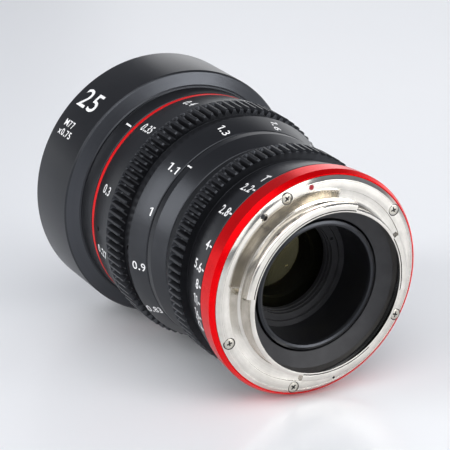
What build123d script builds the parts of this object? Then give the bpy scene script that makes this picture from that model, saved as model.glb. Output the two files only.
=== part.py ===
"""Cinema prime lens, built piece by piece.

Millimetres and degrees. The optical axis is +Y and points to the front of the lens. The origin is the
centre of the mount's flange face. +Z is up as the lens lies on its side. Angles round the axis are
measured from +Z towards +X, which is clockwise as seen from behind the mount.
"""
from build123d import *
from collections import namedtuple
from math import atan2, cos, degrees, hypot, pi, radians, sin, sqrt, tan
import os

os.makedirs("parts", exist_ok=True)

# Driving dimensions

filter_diameter = 77.0         # screw-in filter thread
front_wall = 1.5               # brings the outside of the front barrel to a clamp-on matte box size
filter_pitch = 0.75
filter_thread_length = 5.2
throat_diameter = 54.0         # throat of the camera mount that the claws enter
lip_depth = 5.4                # the bayonet reaches this far behind the flange face
gear_module = 0.8              # follow-focus pitch
pressure_angle = 20.0

# Lengths along the axis of the outside rings

base_ring_front = 7.8
aperture_ring_length = 24.6
mid_barrel_length = 7.9
focus_ring_length = 31.2
neck_length = 6.3
shoulder_length = 2.1          # rounded rear face of the front barrel
front_barrel_length = 19.6

# Clearances

end_gap = 0.2                  # between the ends of neighbouring rings
running_gap = 0.05             # radial gap of a bearing or a pin in its slot
free_gap = 0.3                 # radial gap between turning rings that don't bear
sight_gap = 0.45               # round the moving tubes where they pass a fixed edge
lens_gap = 0.05                # round the rim of a lens element
overrun = 1.0                  # how far a cutting shape passes the surface it cuts
edge_break = 0.25              # small chamfer on visible edges

# Inner barrel, on which the rings turn and in which the optical unit slides

barrel_outer_radius = 28.6
barrel_wall = 3.0
cell_relief = 0.4              # round the cells, away from their gliding lands
barrel_bore_radius = barrel_outer_radius - barrel_wall
cell_radius = barrel_bore_radius - cell_relief
ring_bore_radius = barrel_outer_radius + free_gap

# Focus travel, and the place of the focus followers

focus_lead = 10.0              # axial travel of the optical unit for one turn of the focus ring
focus_to_infinity = 127.5      # from the photographed setting back to infinity
focus_to_near = 86.0           # from the photographed setting to the nearest distance
follower_angle = 20.0
follower_count = 2
guide_station = 56.0
follower_radius = 1.45
travel_to_infinity = focus_lead * focus_to_infinity / 360
travel_to_near = focus_lead * focus_to_near / 360
guide_slot_half_width = follower_radius + running_gap

# Aperture travel, and the place of the drive pin

aperture_to_open = 7.3         # from the photographed setting to the widest stop
aperture_to_closed = 67.8      # from the photographed setting to the smallest stop
aperture_travel = aperture_to_open + aperture_to_closed
drive_angle = 100.0
drive_pin_radius = 0.9
drive_pin_station = 34.8

# Stations of the outside rings

aperture_ring_rear = base_ring_front + end_gap
aperture_ring_front = aperture_ring_rear + aperture_ring_length
mid_barrel_rear = aperture_ring_front + end_gap
mid_barrel_front = mid_barrel_rear + mid_barrel_length
focus_ring_rear = mid_barrel_front + end_gap
focus_ring_front = focus_ring_rear + focus_ring_length
neck_rear = focus_ring_front + end_gap
neck_front = neck_rear + neck_length
front_barrel_rear = neck_front + shoulder_length
front_barrel_front = front_barrel_rear + front_barrel_length

# Helpers


def facing(station):
    """Plane across the axis: its x is +Z, its y is +X and its normal is +Y."""
    return Plane(origin=(0, station, 0), x_dir=(0, 0, 1), z_dir=(0, 1, 0))


def outward(station, radius, angle):
    """Plane that faces out from the axis at an angle, with its x along the axis."""
    turn = radians(angle)
    normal = (sin(turn), 0, cos(turn))
    return Plane(origin=(radius * normal[0], station, radius * normal[2]), x_dir=(0, 1, 0), z_dir=normal)


def polar(radius, angle):
    """Point on a facing plane."""
    return (radius * cos(radians(angle)), radius * sin(radians(angle)))


def profile(*points):
    """Closed outline of a turned piece, as points of radius and station."""
    with BuildSketch(Plane.XY) as section:
        with BuildLine():
            Polyline(*points, close=True)
        make_face()
    return section.sketch


def sector(station, inner, outer, start, end):
    """Part of a flat ring between two angles, on a facing plane."""
    middle = (start + end) / 2
    with BuildSketch(facing(station)) as shape:
        with BuildLine():
            ThreePointArc(polar(outer, start), polar(outer, middle), polar(outer, end))
            Line(polar(outer, end), polar(inner, end))
            ThreePointArc(polar(inner, end), polar(inner, middle), polar(inner, start))
            Line(polar(inner, start), polar(outer, start))
        make_face()
    return shape.sketch


def around(piece, count, first=0.0):
    """Copies of a solid, evenly spaced round the optical axis."""
    return [piece.rotate(Axis.Y, first + 360 * index / count) for index in range(count)]


def keep(builder, name):
    """Label a finished piece and write its file."""
    builder.part.label = name
    export_step(builder.part, "parts/" + name + ".step")


# Gear teeth, cut into a turned blank. The cutter leaves the blank at the front in a rounded run-out.

focus_pitch_height = 7.4       # of the pitch circle over the inner barrel
iris_pitch_height = 3.8
focus_teeth = round(2 * (barrel_outer_radius + focus_pitch_height) / gear_module)
iris_teeth = round(2 * (barrel_outer_radius + iris_pitch_height) / gear_module)
addendum_share = 1.0           # of the module
dedendum_share = 1.25
addendum = addendum_share * gear_module
dedendum = dedendum_share * gear_module
gear_run_out = 1.6
gear_edge_break = 0.45
run_out_height_share = 0.28    # height reached where the run-out is about half done
run_out_length_share = 0.46


def tip_radius(teeth):
    return gear_module * teeth / 2 + addendum


def root_radius(teeth):
    return gear_module * teeth / 2 - dedendum


def tooth_spaces(teeth, rear, front):
    """The spaces between the teeth of one gear, from the rear station to the front one."""
    tip = tip_radius(teeth)
    root = root_radius(teeth)
    flank = tan(radians(pressure_angle))
    half_space = pi * gear_module / 4
    half_root = half_space - flank * dedendum
    half_top = half_space + flank * (addendum + overrun)
    rise_point = (root + (tip - root) * run_out_height_share, front - gear_run_out * run_out_length_share)
    with BuildPart() as space:
        with BuildSketch(facing(rear - overrun)):
            with BuildLine():
                Polyline(
                    (root, -half_root), (tip + overrun, -half_top),
                    (tip + overrun, half_top), (root, half_root), close=True,
                )
            make_face()
        extrude(amount=front - rear + overrun)
        with BuildSketch(Plane.XY):
            with BuildLine():
                floor = Line((root, rear - overrun), (root, front - gear_run_out))
                rise = ThreePointArc(floor @ 1, rise_point, (tip, front))
                Polyline(rise @ 1, (tip + 2 * overrun, front), (tip + 2 * overrun, rear - overrun), floor @ 0)
            make_face()
        revolve(axis=Axis.Y, mode=Mode.INTERSECT)
    return around(space.part, teeth)


# Bayonet mount: flange plate, neck with three claws, and the bore that holds the baffle

flange_reach = 4.4             # beyond the inner barrel
flange_bevel_width = 1.1
flange_land_width = 3.0
flange_radius = barrel_outer_radius + flange_reach
flange_thickness = 1.5
flange_land_outer = flange_radius - flange_bevel_width
flange_land_inner = flange_land_outer - flange_land_width
flange_step = 0.3
flange_rim_drop = 0.9
bayonet_bore_radius = 24.2
neck_radius = 25.4
neck_root_round = 1.0
round_share = 0.29             # how far a rounded corner stays from its two faces at its middle
claw_gap = 0.16
claw_radius = throat_diameter / 2 - claw_gap
claw_thickness = 1.9
claw_spans = ((-83.6, 17.4), (58.0, 98.0), (142.0, 196.0))
lip_chamfer = 0.45
screw_setback = 2.06           # from the flange's edge
screw_circle_radius = flange_radius - screw_setback
screw_angles = (-23.2, 51.4, 116.7, 191.8, 246.9)
screw_head_radius = 1.6
screw_head_height = 0.9
screw_head_inset = 0.04
screw_shank_radius = 1.0
screw_length = 5.2
head_gap = 0.1
lock_hole_angle = -38.7
lock_hole_radius = 1.15
witness_hole_angle = 166.2
witness_hole_radius = 0.4
witness_hole_depth = 0.6
dot_angle = -8.3
dot_radius = 0.8
dot_depth = 0.4
stop_screw_angle = -85.4
stop_screw_radius = 0.9
stop_screw_station = -2.3
stop_screw_height = 0.9
cross_width = 0.34
cross_length_share = 1.3       # of the head radius
cross_depth_share = 0.5        # of the head height

with BuildPart() as bayonet_mount:
    revolve(
        profile(
            (bayonet_bore_radius, -lip_depth),
            (neck_radius - lip_chamfer, -lip_depth),
            (neck_radius, lip_chamfer - lip_depth),
            (neck_radius, flange_step - neck_root_round),
            (neck_radius + neck_root_round * round_share, flange_step - neck_root_round * round_share),
            (neck_radius + neck_root_round, flange_step),
            (flange_land_inner, flange_step),
            (flange_land_inner, 0),
            (flange_land_outer, 0),
            (flange_radius, flange_rim_drop),
            (flange_radius, flange_thickness),
            (bayonet_bore_radius, flange_thickness),
        ),
        axis=Axis.Y,
    )
    for start, end in claw_spans:
        claw = sector(-lip_depth, neck_radius - lip_chamfer, claw_radius, start, end)
        add(extrude(claw, amount=claw_thickness, mode=Mode.PRIVATE))
    revolve(
        profile(
            (claw_radius - lip_chamfer, -lip_depth),
            (claw_radius + overrun, lip_chamfer + overrun - lip_depth),
            (claw_radius + overrun, -lip_depth - overrun),
            (claw_radius - lip_chamfer, -lip_depth - overrun),
        ),
        axis=Axis.Y, mode=Mode.SUBTRACT,
    )
    with BuildSketch(facing(0)):
        for angle in screw_angles:
            with Locations(polar(screw_circle_radius, angle)):
                Circle(screw_head_radius + head_gap)
    extrude(amount=screw_head_height + screw_head_inset, mode=Mode.SUBTRACT)
    with BuildSketch(facing(0)):
        for angle in screw_angles:
            with Locations(polar(screw_circle_radius, angle)):
                Circle(screw_shank_radius + head_gap)
        with Locations(polar(screw_circle_radius, lock_hole_angle)):
            Circle(lock_hole_radius)
    extrude(amount=flange_thickness, mode=Mode.SUBTRACT)
    with BuildSketch(facing(0)):
        with Locations(polar(screw_circle_radius, witness_hole_angle)):
            Circle(witness_hole_radius)
    extrude(amount=witness_hole_depth, mode=Mode.SUBTRACT)
    with BuildSketch(facing(0)):
        with Locations(polar(screw_circle_radius, dot_angle)):
            Circle(dot_radius)
    extrude(amount=dot_depth, mode=Mode.SUBTRACT)
    with BuildSketch(outward(stop_screw_station, bayonet_bore_radius - overrun, stop_screw_angle)):
        Circle(stop_screw_radius)
    extrude(amount=neck_radius - bayonet_bore_radius + 2 * overrun, mode=Mode.SUBTRACT)
keep(bayonet_mount, "bayonet_mount")

with BuildPart() as mount_index_dot:
    with BuildSketch(facing(0)):
        with Locations(polar(screw_circle_radius, dot_angle)):
            Circle(dot_radius)
    extrude(amount=dot_depth)
keep(mount_index_dot, "mount_index_dot")

stop_screw_top = neck_radius + stop_screw_height

with BuildPart() as bayonet_stop_screw:
    with BuildSketch(outward(stop_screw_station, bayonet_bore_radius, stop_screw_angle)):
        Circle(stop_screw_radius)
    extrude(amount=stop_screw_top - bayonet_bore_radius)
    with BuildSketch(outward(stop_screw_station, stop_screw_top, stop_screw_angle)):
        Rectangle(2 * stop_screw_radius, cross_width)
    extrude(amount=-cross_width, mode=Mode.SUBTRACT)
keep(bayonet_stop_screw, "bayonet_stop_screw")

# Mount screws with cross recesses

with BuildPart() as one_mount_screw:
    with BuildSketch(facing(screw_head_inset)):
        Circle(screw_head_radius)
    extrude(amount=screw_head_height)
    chamfer(one_mount_screw.faces().sort_by(Axis.Y)[0].edges(), head_gap)
    with BuildSketch(facing(screw_head_inset + screw_head_height)):
        Circle(screw_shank_radius)
    extrude(amount=screw_length)
    with BuildSketch(facing(screw_head_inset)):
        Rectangle(cross_length_share * screw_head_radius, cross_width)
        Rectangle(cross_width, cross_length_share * screw_head_radius)
    extrude(amount=screw_head_height * cross_depth_share, mode=Mode.SUBTRACT)

with BuildPart() as mount_screws:
    for angle in screw_angles:
        add(one_mount_screw.part.moved(Location((0, 0, screw_circle_radius))).rotate(Axis.Y, angle))
keep(mount_screws, "mount_screws")

# Shim that sets the flange distance

shim_thickness = 0.15
shim_width = 5.6
shim_radius = flange_radius - end_gap
shim_inner_radius = shim_radius - shim_width

with BuildPart() as mount_shim:
    with BuildSketch(facing(flange_thickness)):
        Circle(shim_radius)
        Circle(shim_inner_radius, mode=Mode.SUBTRACT)
        for angle in screw_angles:
            with Locations(polar(screw_circle_radius, angle)):
                Circle(screw_shank_radius + head_gap, mode=Mode.SUBTRACT)
    extrude(amount=shim_thickness)
keep(mount_shim, "mount_shim")

# Red mount base ring, with a rebate for the flange and a pocket for the inner barrel's flange

base_ring_rear = 1.0
base_ring_rim_width = 0.4      # round the flange
base_ring_chamfer_width = 0.9
base_ring_chamfer_length = 1.5
base_ring_taper = 0.35
base_ring_rim_radius = flange_radius + base_ring_rim_width
base_ring_radius = base_ring_rim_radius + base_ring_chamfer_width
base_ring_front_radius = base_ring_radius - base_ring_taper
base_ring_bore_radius = barrel_bore_radius - end_gap
base_plate_rear = flange_thickness + shim_thickness
base_plate_front = 4.3
barrel_flange_width = 1.0
barrel_flange_radius = barrel_outer_radius + barrel_flange_width
barrel_flange_front = 6.9
barrel_screw_count = 4
barrel_screw_radius = 0.8
barrel_screw_head_radius = 1.4
barrel_screw_head_height = 1.1
barrel_screw_circle = (barrel_bore_radius + barrel_flange_radius) / 2
barrel_screw_first_angle = 5.0

with BuildPart() as mount_base_ring:
    revolve(
        profile(
            (base_ring_bore_radius, base_plate_rear),
            (flange_radius + head_gap, base_plate_rear),
            (flange_radius + head_gap, base_ring_rear),
            (base_ring_rim_radius, base_ring_rear),
            (base_ring_radius, base_ring_rear + base_ring_chamfer_length),
            (base_ring_front_radius, base_ring_front - edge_break),
            (base_ring_front_radius - edge_break, base_ring_front),
            (barrel_flange_radius, base_ring_front),
            (barrel_flange_radius, base_plate_front),
            (base_ring_bore_radius, base_plate_front),
        ),
        axis=Axis.Y,
    )
    with BuildSketch(facing(base_plate_rear)):
        for angle in screw_angles:
            with Locations(polar(screw_circle_radius, angle)):
                Circle(screw_shank_radius)
    extrude(amount=screw_head_inset + screw_head_height + screw_length - base_plate_rear, mode=Mode.SUBTRACT)
    with BuildSketch(facing(base_plate_rear)):
        with PolarLocations(barrel_screw_circle, barrel_screw_count, barrel_screw_first_angle):
            Circle(barrel_screw_head_radius)
    extrude(amount=barrel_screw_head_height, mode=Mode.SUBTRACT)
    with BuildSketch(facing(base_plate_rear)):
        with PolarLocations(barrel_screw_circle, barrel_screw_count, barrel_screw_first_angle):
            Circle(barrel_screw_radius)
    extrude(amount=base_plate_front - base_plate_rear, mode=Mode.SUBTRACT)
keep(mount_base_ring, "mount_base_ring")

with BuildPart() as barrel_screws:
    with BuildSketch(facing(base_plate_rear)):
        with PolarLocations(barrel_screw_circle, barrel_screw_count, barrel_screw_first_angle):
            Circle(barrel_screw_head_radius)
    extrude(amount=barrel_screw_head_height)
    with BuildSketch(facing(base_plate_rear + barrel_screw_head_height)):
        with PolarLocations(barrel_screw_circle, barrel_screw_count, barrel_screw_first_angle):
            Circle(barrel_screw_radius)
    extrude(amount=barrel_flange_front - base_plate_rear - barrel_screw_head_height)
keep(barrel_screws, "barrel_screws")

# Rear baffle plate: a black dished ring in the mount's bore, round the moving rear tube

rear_tube_radius = 19.8
rear_tube_bore_radius = 17.9
baffle_rear = -1.6
baffle_inner_station = 0.9
baffle_thickness = 0.8
baffle_rim_width = 0.9
baffle_hole_radius = rear_tube_radius + sight_gap

with BuildPart() as rear_baffle:
    revolve(
        profile(
            (bayonet_bore_radius, baffle_rear),
            (baffle_hole_radius, baffle_inner_station),
            (baffle_hole_radius, baffle_inner_station + baffle_thickness),
            (bayonet_bore_radius - baffle_rim_width, baffle_rear + 2 * baffle_thickness),
            (bayonet_bore_radius - baffle_rim_width, flange_thickness),
            (bayonet_bore_radius, flange_thickness),
        ),
        axis=Axis.Y,
    )
keep(rear_baffle, "rear_baffle")

# Drive fork of the aperture ring, which takes the iris drive pin along at every focus setting

fork_clearance = 0.4           # inside the inner barrel's window, from its bore and from its outside
fork_inner_radius = barrel_bore_radius + fork_clearance
fork_outer_radius = barrel_outer_radius - fork_clearance
fork_prong_width = 1.6
fork_heel_length = 1.6
fork_foot_length = 2.6
fork_end_margin = 0.4
fork_screw_radius = 0.45
fork_screw_head_radius = 0.7
fork_screw_head_height = 0.5
fork_screw_reach = 1.5
fork_screw_spread = 3.2        # either side of the fork's middle
fork_half_width = drive_pin_radius + running_gap + fork_prong_width
fork_mean_radius = (fork_inner_radius + fork_outer_radius) / 2
fork_half_angle = degrees(fork_half_width / fork_mean_radius)
fork_slot_root = drive_pin_station - travel_to_infinity - drive_pin_radius - end_gap
fork_rear = fork_slot_root - fork_heel_length
fork_front = drive_pin_station + travel_to_near + drive_pin_radius + fork_end_margin
fork_screw_station = fork_rear + fork_heel_length / 2

# Inner barrel: a straight tube with a flange, two guide slots and the window for the drive fork

barrel_front = 80.0
window_margin = 0.8
window_rear = fork_rear - window_margin
window_front = fork_front + window_margin
window_half_angle = fork_half_angle + degrees(window_margin / barrel_bore_radius)
glide_width = 4.0
glide_depth = 0.35
glide_radius = ring_bore_radius - running_gap
glide_margin = 1.2
glide_spacing = 11.4
rear_aperture_glide = aperture_ring_rear + glide_margin
rear_focus_glide = focus_ring_rear + glide_margin
front_focus_glide = focus_ring_front - glide_margin - glide_width
aperture_glide_stations = (rear_aperture_glide, rear_aperture_glide + glide_spacing)
focus_glide_stations = (rear_focus_glide, front_focus_glide)
slot_rear = guide_station - travel_to_infinity - guide_slot_half_width - end_gap
slot_front = guide_station + travel_to_near + guide_slot_half_width + end_gap

with BuildPart() as inner_barrel:
    revolve(
        profile(
            (barrel_bore_radius, base_plate_front),
            (barrel_flange_radius, base_plate_front),
            (barrel_flange_radius, barrel_flange_front),
            (barrel_outer_radius, barrel_flange_front),
            (barrel_outer_radius, barrel_front),
            (barrel_bore_radius, barrel_front),
        ),
        axis=Axis.Y,
    )
    for station in aperture_glide_stations + focus_glide_stations:
        with BuildSketch(facing(station)):
            Circle(barrel_outer_radius + overrun)
            Circle(barrel_outer_radius - glide_depth, mode=Mode.SUBTRACT)
        extrude(amount=glide_width, mode=Mode.SUBTRACT)
    with BuildSketch(facing(base_plate_front)):
        with PolarLocations(barrel_screw_circle, barrel_screw_count, barrel_screw_first_angle):
            Circle(barrel_screw_radius)
    extrude(amount=barrel_flange_front - base_plate_front, mode=Mode.SUBTRACT)
    for index in range(follower_count):
        with BuildSketch(outward((slot_rear + slot_front) / 2, 0, follower_angle + 360 * index / follower_count)):
            SlotOverall(slot_front - slot_rear, 2 * guide_slot_half_width)
        extrude(amount=barrel_outer_radius + overrun, mode=Mode.SUBTRACT)
    window = sector(
        window_rear, barrel_bore_radius - overrun, barrel_outer_radius + overrun,
        drive_angle - aperture_to_open - window_half_angle, drive_angle + aperture_to_closed + window_half_angle,
    )
    extrude(window, amount=window_front - window_rear, mode=Mode.SUBTRACT)
keep(inner_barrel, "inner_barrel")


def glide_rings(stations):
    """Two low-friction rings in the inner barrel's grooves."""
    with BuildPart() as rings:
        for station in stations:
            with BuildSketch(facing(station)):
                Circle(glide_radius)
                Circle(barrel_outer_radius - glide_depth, mode=Mode.SUBTRACT)
            extrude(amount=glide_width)
    return rings


keep(glide_rings(aperture_glide_stations), "aperture_glide_rings")
keep(glide_rings(focus_glide_stations), "focus_glide_rings")

# Mid barrel: the fixed ring with the index between the aperture ring and the focus ring

mid_barrel_rear_wall = 2.5
mid_barrel_front_wall = 4.4
mid_barrel_rear_radius = barrel_outer_radius + mid_barrel_rear_wall
mid_barrel_front_radius = barrel_outer_radius + mid_barrel_front_wall
index_band_length = 2.5

with BuildPart() as mid_barrel:
    revolve(
        profile(
            (barrel_outer_radius, mid_barrel_rear),
            (mid_barrel_rear_radius - edge_break, mid_barrel_rear),
            (mid_barrel_rear_radius, mid_barrel_rear + edge_break),
            (mid_barrel_front_radius, mid_barrel_front - index_band_length),
            (mid_barrel_front_radius, mid_barrel_front - edge_break),
            (mid_barrel_front_radius - edge_break, mid_barrel_front),
            (barrel_outer_radius, mid_barrel_front),
        ),
        axis=Axis.Y,
    )
keep(mid_barrel, "mid_barrel")

# Front barrel: neck with the focus index, shoulder, and the open front with the filter thread

neck_wall = 6.5
neck_band_radius = barrel_outer_radius + neck_wall
front_radius = filter_diameter / 2 + front_wall
front_chamfer = 0.45
shoulder_edge_break = 0.6
shoulder_width_share = 0.62    # how far out, and how far forward, the shoulder is at its middle point
shoulder_rise_share = 0.3
thread_depth_share = 0.5413    # of the pitch
thread_core_radius = filter_diameter / 2 - thread_depth_share * filter_pitch
thread_lead_in = 0.5
thread_rear = front_barrel_front - thread_lead_in - filter_thread_length
front_cavity_wall = 1.7        # inside the filter's diameter
front_cavity_radius = filter_diameter / 2 - front_cavity_wall
front_wall_length = 3.0
front_floor_station = barrel_front + front_wall_length

with BuildPart() as front_barrel:
    revolve(
        profile(
            (barrel_outer_radius, neck_rear),
            (neck_band_radius - edge_break, neck_rear),
            (neck_band_radius, neck_rear + edge_break),
            (neck_band_radius, neck_front),
            (neck_band_radius + (front_radius - neck_band_radius) * shoulder_width_share,
             neck_front + shoulder_length * shoulder_rise_share),
            (front_radius - shoulder_edge_break, front_barrel_rear - shoulder_edge_break),
            (front_radius, front_barrel_rear),
            (front_radius, front_barrel_front - front_chamfer),
            (front_radius - front_chamfer, front_barrel_front),
            (thread_core_radius + thread_lead_in, front_barrel_front),
            (thread_core_radius, front_barrel_front - thread_lead_in),
            (thread_core_radius, thread_rear),
            (front_cavity_radius, thread_rear),
            (front_cavity_radius, front_floor_station),
            (barrel_outer_radius, front_floor_station),
        ),
        axis=Axis.Y,
    )
keep(front_barrel, "front_barrel")

# Front bezel: a stepped black cone of light-trap ridges between the thread and the front element

bezel_hole_radius = cell_radius + sight_gap
bezel_step_count = 8
bezel_thickness = 1.4
bezel_lip_width = 1.7
bezel_mouth_radius = front_cavity_radius - bezel_lip_width


def bezel_steps():
    """Points of the stepped cone, from the mouth inwards."""
    points = []
    fall = (bezel_mouth_radius - bezel_hole_radius) / bezel_step_count
    drop = (thread_rear - front_floor_station - bezel_thickness) / bezel_step_count
    for index in range(bezel_step_count):
        radius = bezel_mouth_radius - index * fall
        points.append((radius, thread_rear - index * drop))
        points.append((radius, thread_rear - (index + 1) * drop))
    points.append((bezel_hole_radius, front_floor_station + bezel_thickness))
    return points


with BuildPart() as front_bezel:
    revolve(
        profile(
            *bezel_steps(),
            (bezel_hole_radius, front_floor_station),
            (bezel_hole_radius + bezel_thickness, front_floor_station),
            (front_cavity_radius, thread_rear - 2 * bezel_thickness),
            (front_cavity_radius, thread_rear),
        ),
        axis=Axis.Y,
    )
keep(front_bezel, "front_bezel")

# Focus ring: foot scale at the rear, gear, metre scale and the seat of the red ring at the front

sleeve_wall = 2.1
foot_band_rear_wall = 2.1
foot_band_front_wall = 4.45
foot_band_length = 6.7
groove_wall = 3.4
groove_length = 4.1
focus_gear_length = 7.4
red_line_width = 1.5
red_line_thickness = 1.2
sleeve_outer_radius = ring_bore_radius + sleeve_wall
foot_band_rear_radius = sleeve_outer_radius + foot_band_rear_wall
foot_band_front_radius = sleeve_outer_radius + foot_band_front_wall
groove_radius = sleeve_outer_radius + groove_wall
red_line_radius = neck_band_radius
red_seat_radius = red_line_radius - red_line_thickness
focus_gear_rear = focus_ring_rear + foot_band_length + groove_length
focus_gear_front = focus_gear_rear + focus_gear_length
red_line_rear = focus_ring_front - red_line_width
focus_screw_angle = -91.6
focus_screw_count = 3
focus_screw_radius = 0.8
focus_screw_inset = 0.35
front_screw_setback = 4.2
hex_socket_share = 0.55        # of the screw radius
rear_focus_screw_station = focus_gear_rear - groove_length / 2
front_focus_screw_station = red_line_rear - front_screw_setback
metre_band_slope = (tip_radius(focus_teeth) - red_line_radius) / (red_line_rear - focus_gear_front)
metre_band_screw_radius = red_line_radius + metre_band_slope * front_screw_setback


def focus_screw_places():
    """Station, surface radius and angle of each set screw of the focus ring."""
    places = []
    for index in range(focus_screw_count):
        angle = focus_screw_angle + 360 * index / focus_screw_count
        places.append((rear_focus_screw_station, groove_radius, angle))
        places.append((front_focus_screw_station, metre_band_screw_radius, angle))
    return places


with BuildPart() as focus_ring:
    revolve(
        profile(
            (sleeve_outer_radius, focus_ring_rear),
            (foot_band_rear_radius - edge_break, focus_ring_rear),
            (foot_band_rear_radius, focus_ring_rear + edge_break),
            (foot_band_front_radius, focus_ring_rear + foot_band_length),
            (groove_radius, focus_ring_rear + foot_band_length),
            (groove_radius, focus_gear_rear),
            (tip_radius(focus_teeth) - gear_edge_break, focus_gear_rear),
            (tip_radius(focus_teeth), focus_gear_rear + gear_edge_break),
            (tip_radius(focus_teeth), focus_gear_front),
            (red_line_radius, red_line_rear),
            (red_seat_radius, red_line_rear),
            (red_seat_radius, focus_ring_front),
            (sleeve_outer_radius, focus_ring_front),
        ),
        axis=Axis.Y,
    )
    add(tooth_spaces(focus_teeth, focus_gear_rear, focus_gear_front), mode=Mode.SUBTRACT)
    for station, surface, angle in focus_screw_places():
        with BuildSketch(outward(station, sleeve_outer_radius - overrun, angle)):
            Circle(focus_screw_radius)
        extrude(amount=surface - sleeve_outer_radius + 2 * overrun, mode=Mode.SUBTRACT)
keep(focus_ring, "focus_ring")

with BuildPart() as focus_accent_ring:
    revolve(
        profile(
            (red_seat_radius, red_line_rear),
            (red_line_radius, red_line_rear),
            (red_line_radius, focus_ring_front - edge_break),
            (red_line_radius - edge_break, focus_ring_front),
            (red_seat_radius, focus_ring_front),
        ),
        axis=Axis.Y,
    )
keep(focus_accent_ring, "focus_accent_ring")

with BuildPart() as focus_set_screws:
    for station, surface, angle in focus_screw_places():
        with BuildSketch(outward(station, sleeve_outer_radius, angle)):
            Circle(focus_screw_radius)
        extrude(amount=surface - focus_screw_inset - sleeve_outer_radius)
        with BuildSketch(outward(station, surface - focus_screw_inset, angle)):
            RegularPolygon(focus_screw_radius * hex_socket_share, 6)
        extrude(amount=-focus_screw_radius, mode=Mode.SUBTRACT)
keep(focus_set_screws, "focus_set_screws")

# Focus cam sleeve, with one helical slot for each follower

slot_inner_radius = ring_bore_radius - overrun
slot_outer_radius = sleeve_outer_radius + overrun
slot_mean_radius = (slot_inner_radius + slot_outer_radius) / 2
slot_turn = focus_to_infinity + focus_to_near
slot_rise = travel_to_infinity + travel_to_near
slot_start_station = guide_station - travel_to_infinity
slot_start_angle = follower_angle + focus_to_infinity


def helical_slot(end_radius):
    """Cutting shape of one helical slot, which starts over +Z and runs back round the axis as it climbs."""
    with BuildPart() as swept:
        with BuildLine():
            path = Helix(pitch=focus_lead, height=slot_rise, radius=slot_mean_radius,
                         center=(0, slot_start_station, 0), direction=(0, 1, 0), lefthand=True)
        with BuildSketch(Plane(origin=path @ 0, x_dir=(0, 0, 1), z_dir=path % 0)):
            Rectangle(slot_outer_radius - slot_inner_radius, 2 * end_radius)
        sweep(is_frenet=True)
        for turned, risen in ((0, 0), (-slot_turn, slot_rise)):
            with BuildSketch(outward(slot_start_station + risen, slot_inner_radius, turned)):
                Circle(end_radius)
            extrude(amount=slot_outer_radius - slot_inner_radius)
    return swept.part


with BuildPart() as focus_cam_sleeve:
    revolve(
        profile(
            (ring_bore_radius, focus_ring_rear),
            (sleeve_outer_radius, focus_ring_rear),
            (sleeve_outer_radius, focus_ring_front),
            (ring_bore_radius, focus_ring_front),
        ),
        axis=Axis.Y,
    )
    add(around(helical_slot(guide_slot_half_width), follower_count, slot_start_angle), mode=Mode.SUBTRACT)
keep(focus_cam_sleeve, "focus_cam_sleeve")

# Lens elements. A curve is the radius of a surface, positive where its rim lies ahead of its middle.

# Each row of the table holds shares of the focal length, in the order of the lens's own names.

focal_length = 25.0
Lens = namedtuple("Lens", "front_vertex front_curve front_height rear_vertex rear_curve rear_height rim")
lens_shares = (
    (3.516, -2.40, 0.936, 3.428, -1.04, 0.760, 0.936),
    (3.020, -3.20, 0.780, 2.948, -0.88, 0.600, 0.780),
    (2.620, -2.00, 0.780, 2.324, 4.00, 0.780, 0.780),
    (2.220, -1.44, 0.620, 1.960, 3.20, 0.620, 0.620),
    (1.932, -1.60, 0.500, 1.712, 1.28, 0.500, 0.500),
    (1.712, 1.28, 0.500, 1.652, -1.80, 0.460, 0.500),
    (1.108, 2.40, 0.440, 1.060, -1.60, 0.492, 0.492),
    (1.060, -1.60, 0.492, 0.876, 1.80, 0.492, 0.492),
    (0.816, 4.00, 0.576, 0.688, 2.40, 0.616, 0.616),
)
lenses = [Lens(*(focal_length * share for share in row)) for row in lens_shares]
lens_1, lens_2, lens_3, lens_4, lens_5, lens_6, lens_7, lens_8, lens_9 = lenses


def surface_station(vertex, curve, height):
    """Station of a spherical surface at a height from the axis."""
    depth = abs(curve) - sqrt(curve * curve - height * height)
    return vertex + depth if curve > 0 else vertex - depth


def front_contact(lens, height):
    return surface_station(lens.front_vertex, lens.front_curve, height)


def rear_contact(lens, height):
    return surface_station(lens.rear_vertex, lens.rear_curve, height)


def front_rim(lens):
    return front_contact(lens, lens.front_height)


def rear_rim(lens):
    return rear_contact(lens, lens.rear_height)


def lens_section(lens):
    """Half section of a lens element."""
    front_half = lens.front_height / 2
    rear_half = lens.rear_height / 2
    with BuildSketch(Plane.XY) as section:
        with BuildLine():
            ThreePointArc(
                (0, lens.rear_vertex), (rear_half, rear_contact(lens, rear_half)),
                (lens.rear_height, rear_rim(lens)),
            )
            if lens.rear_height < lens.rim:
                Line((lens.rear_height, rear_rim(lens)), (lens.rim, rear_rim(lens)))
            Line((lens.rim, rear_rim(lens)), (lens.rim, front_rim(lens)))
            if lens.front_height < lens.rim:
                Line((lens.rim, front_rim(lens)), (lens.front_height, front_rim(lens)))
            ThreePointArc(
                (lens.front_height, front_rim(lens)), (front_half, front_contact(lens, front_half)),
                (0, lens.front_vertex),
            )
            Line((0, lens.front_vertex), (0, lens.rear_vertex))
        make_face()
    return section.sketch


for number, lens in enumerate(lenses, start=1):
    with BuildPart() as element:
        revolve(lens_section(lens), axis=Axis.Y)
    keep(element, "element_" + str(number))

# Iris: blades on their pivots, the plate that carries them and the ring that swings them

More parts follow.
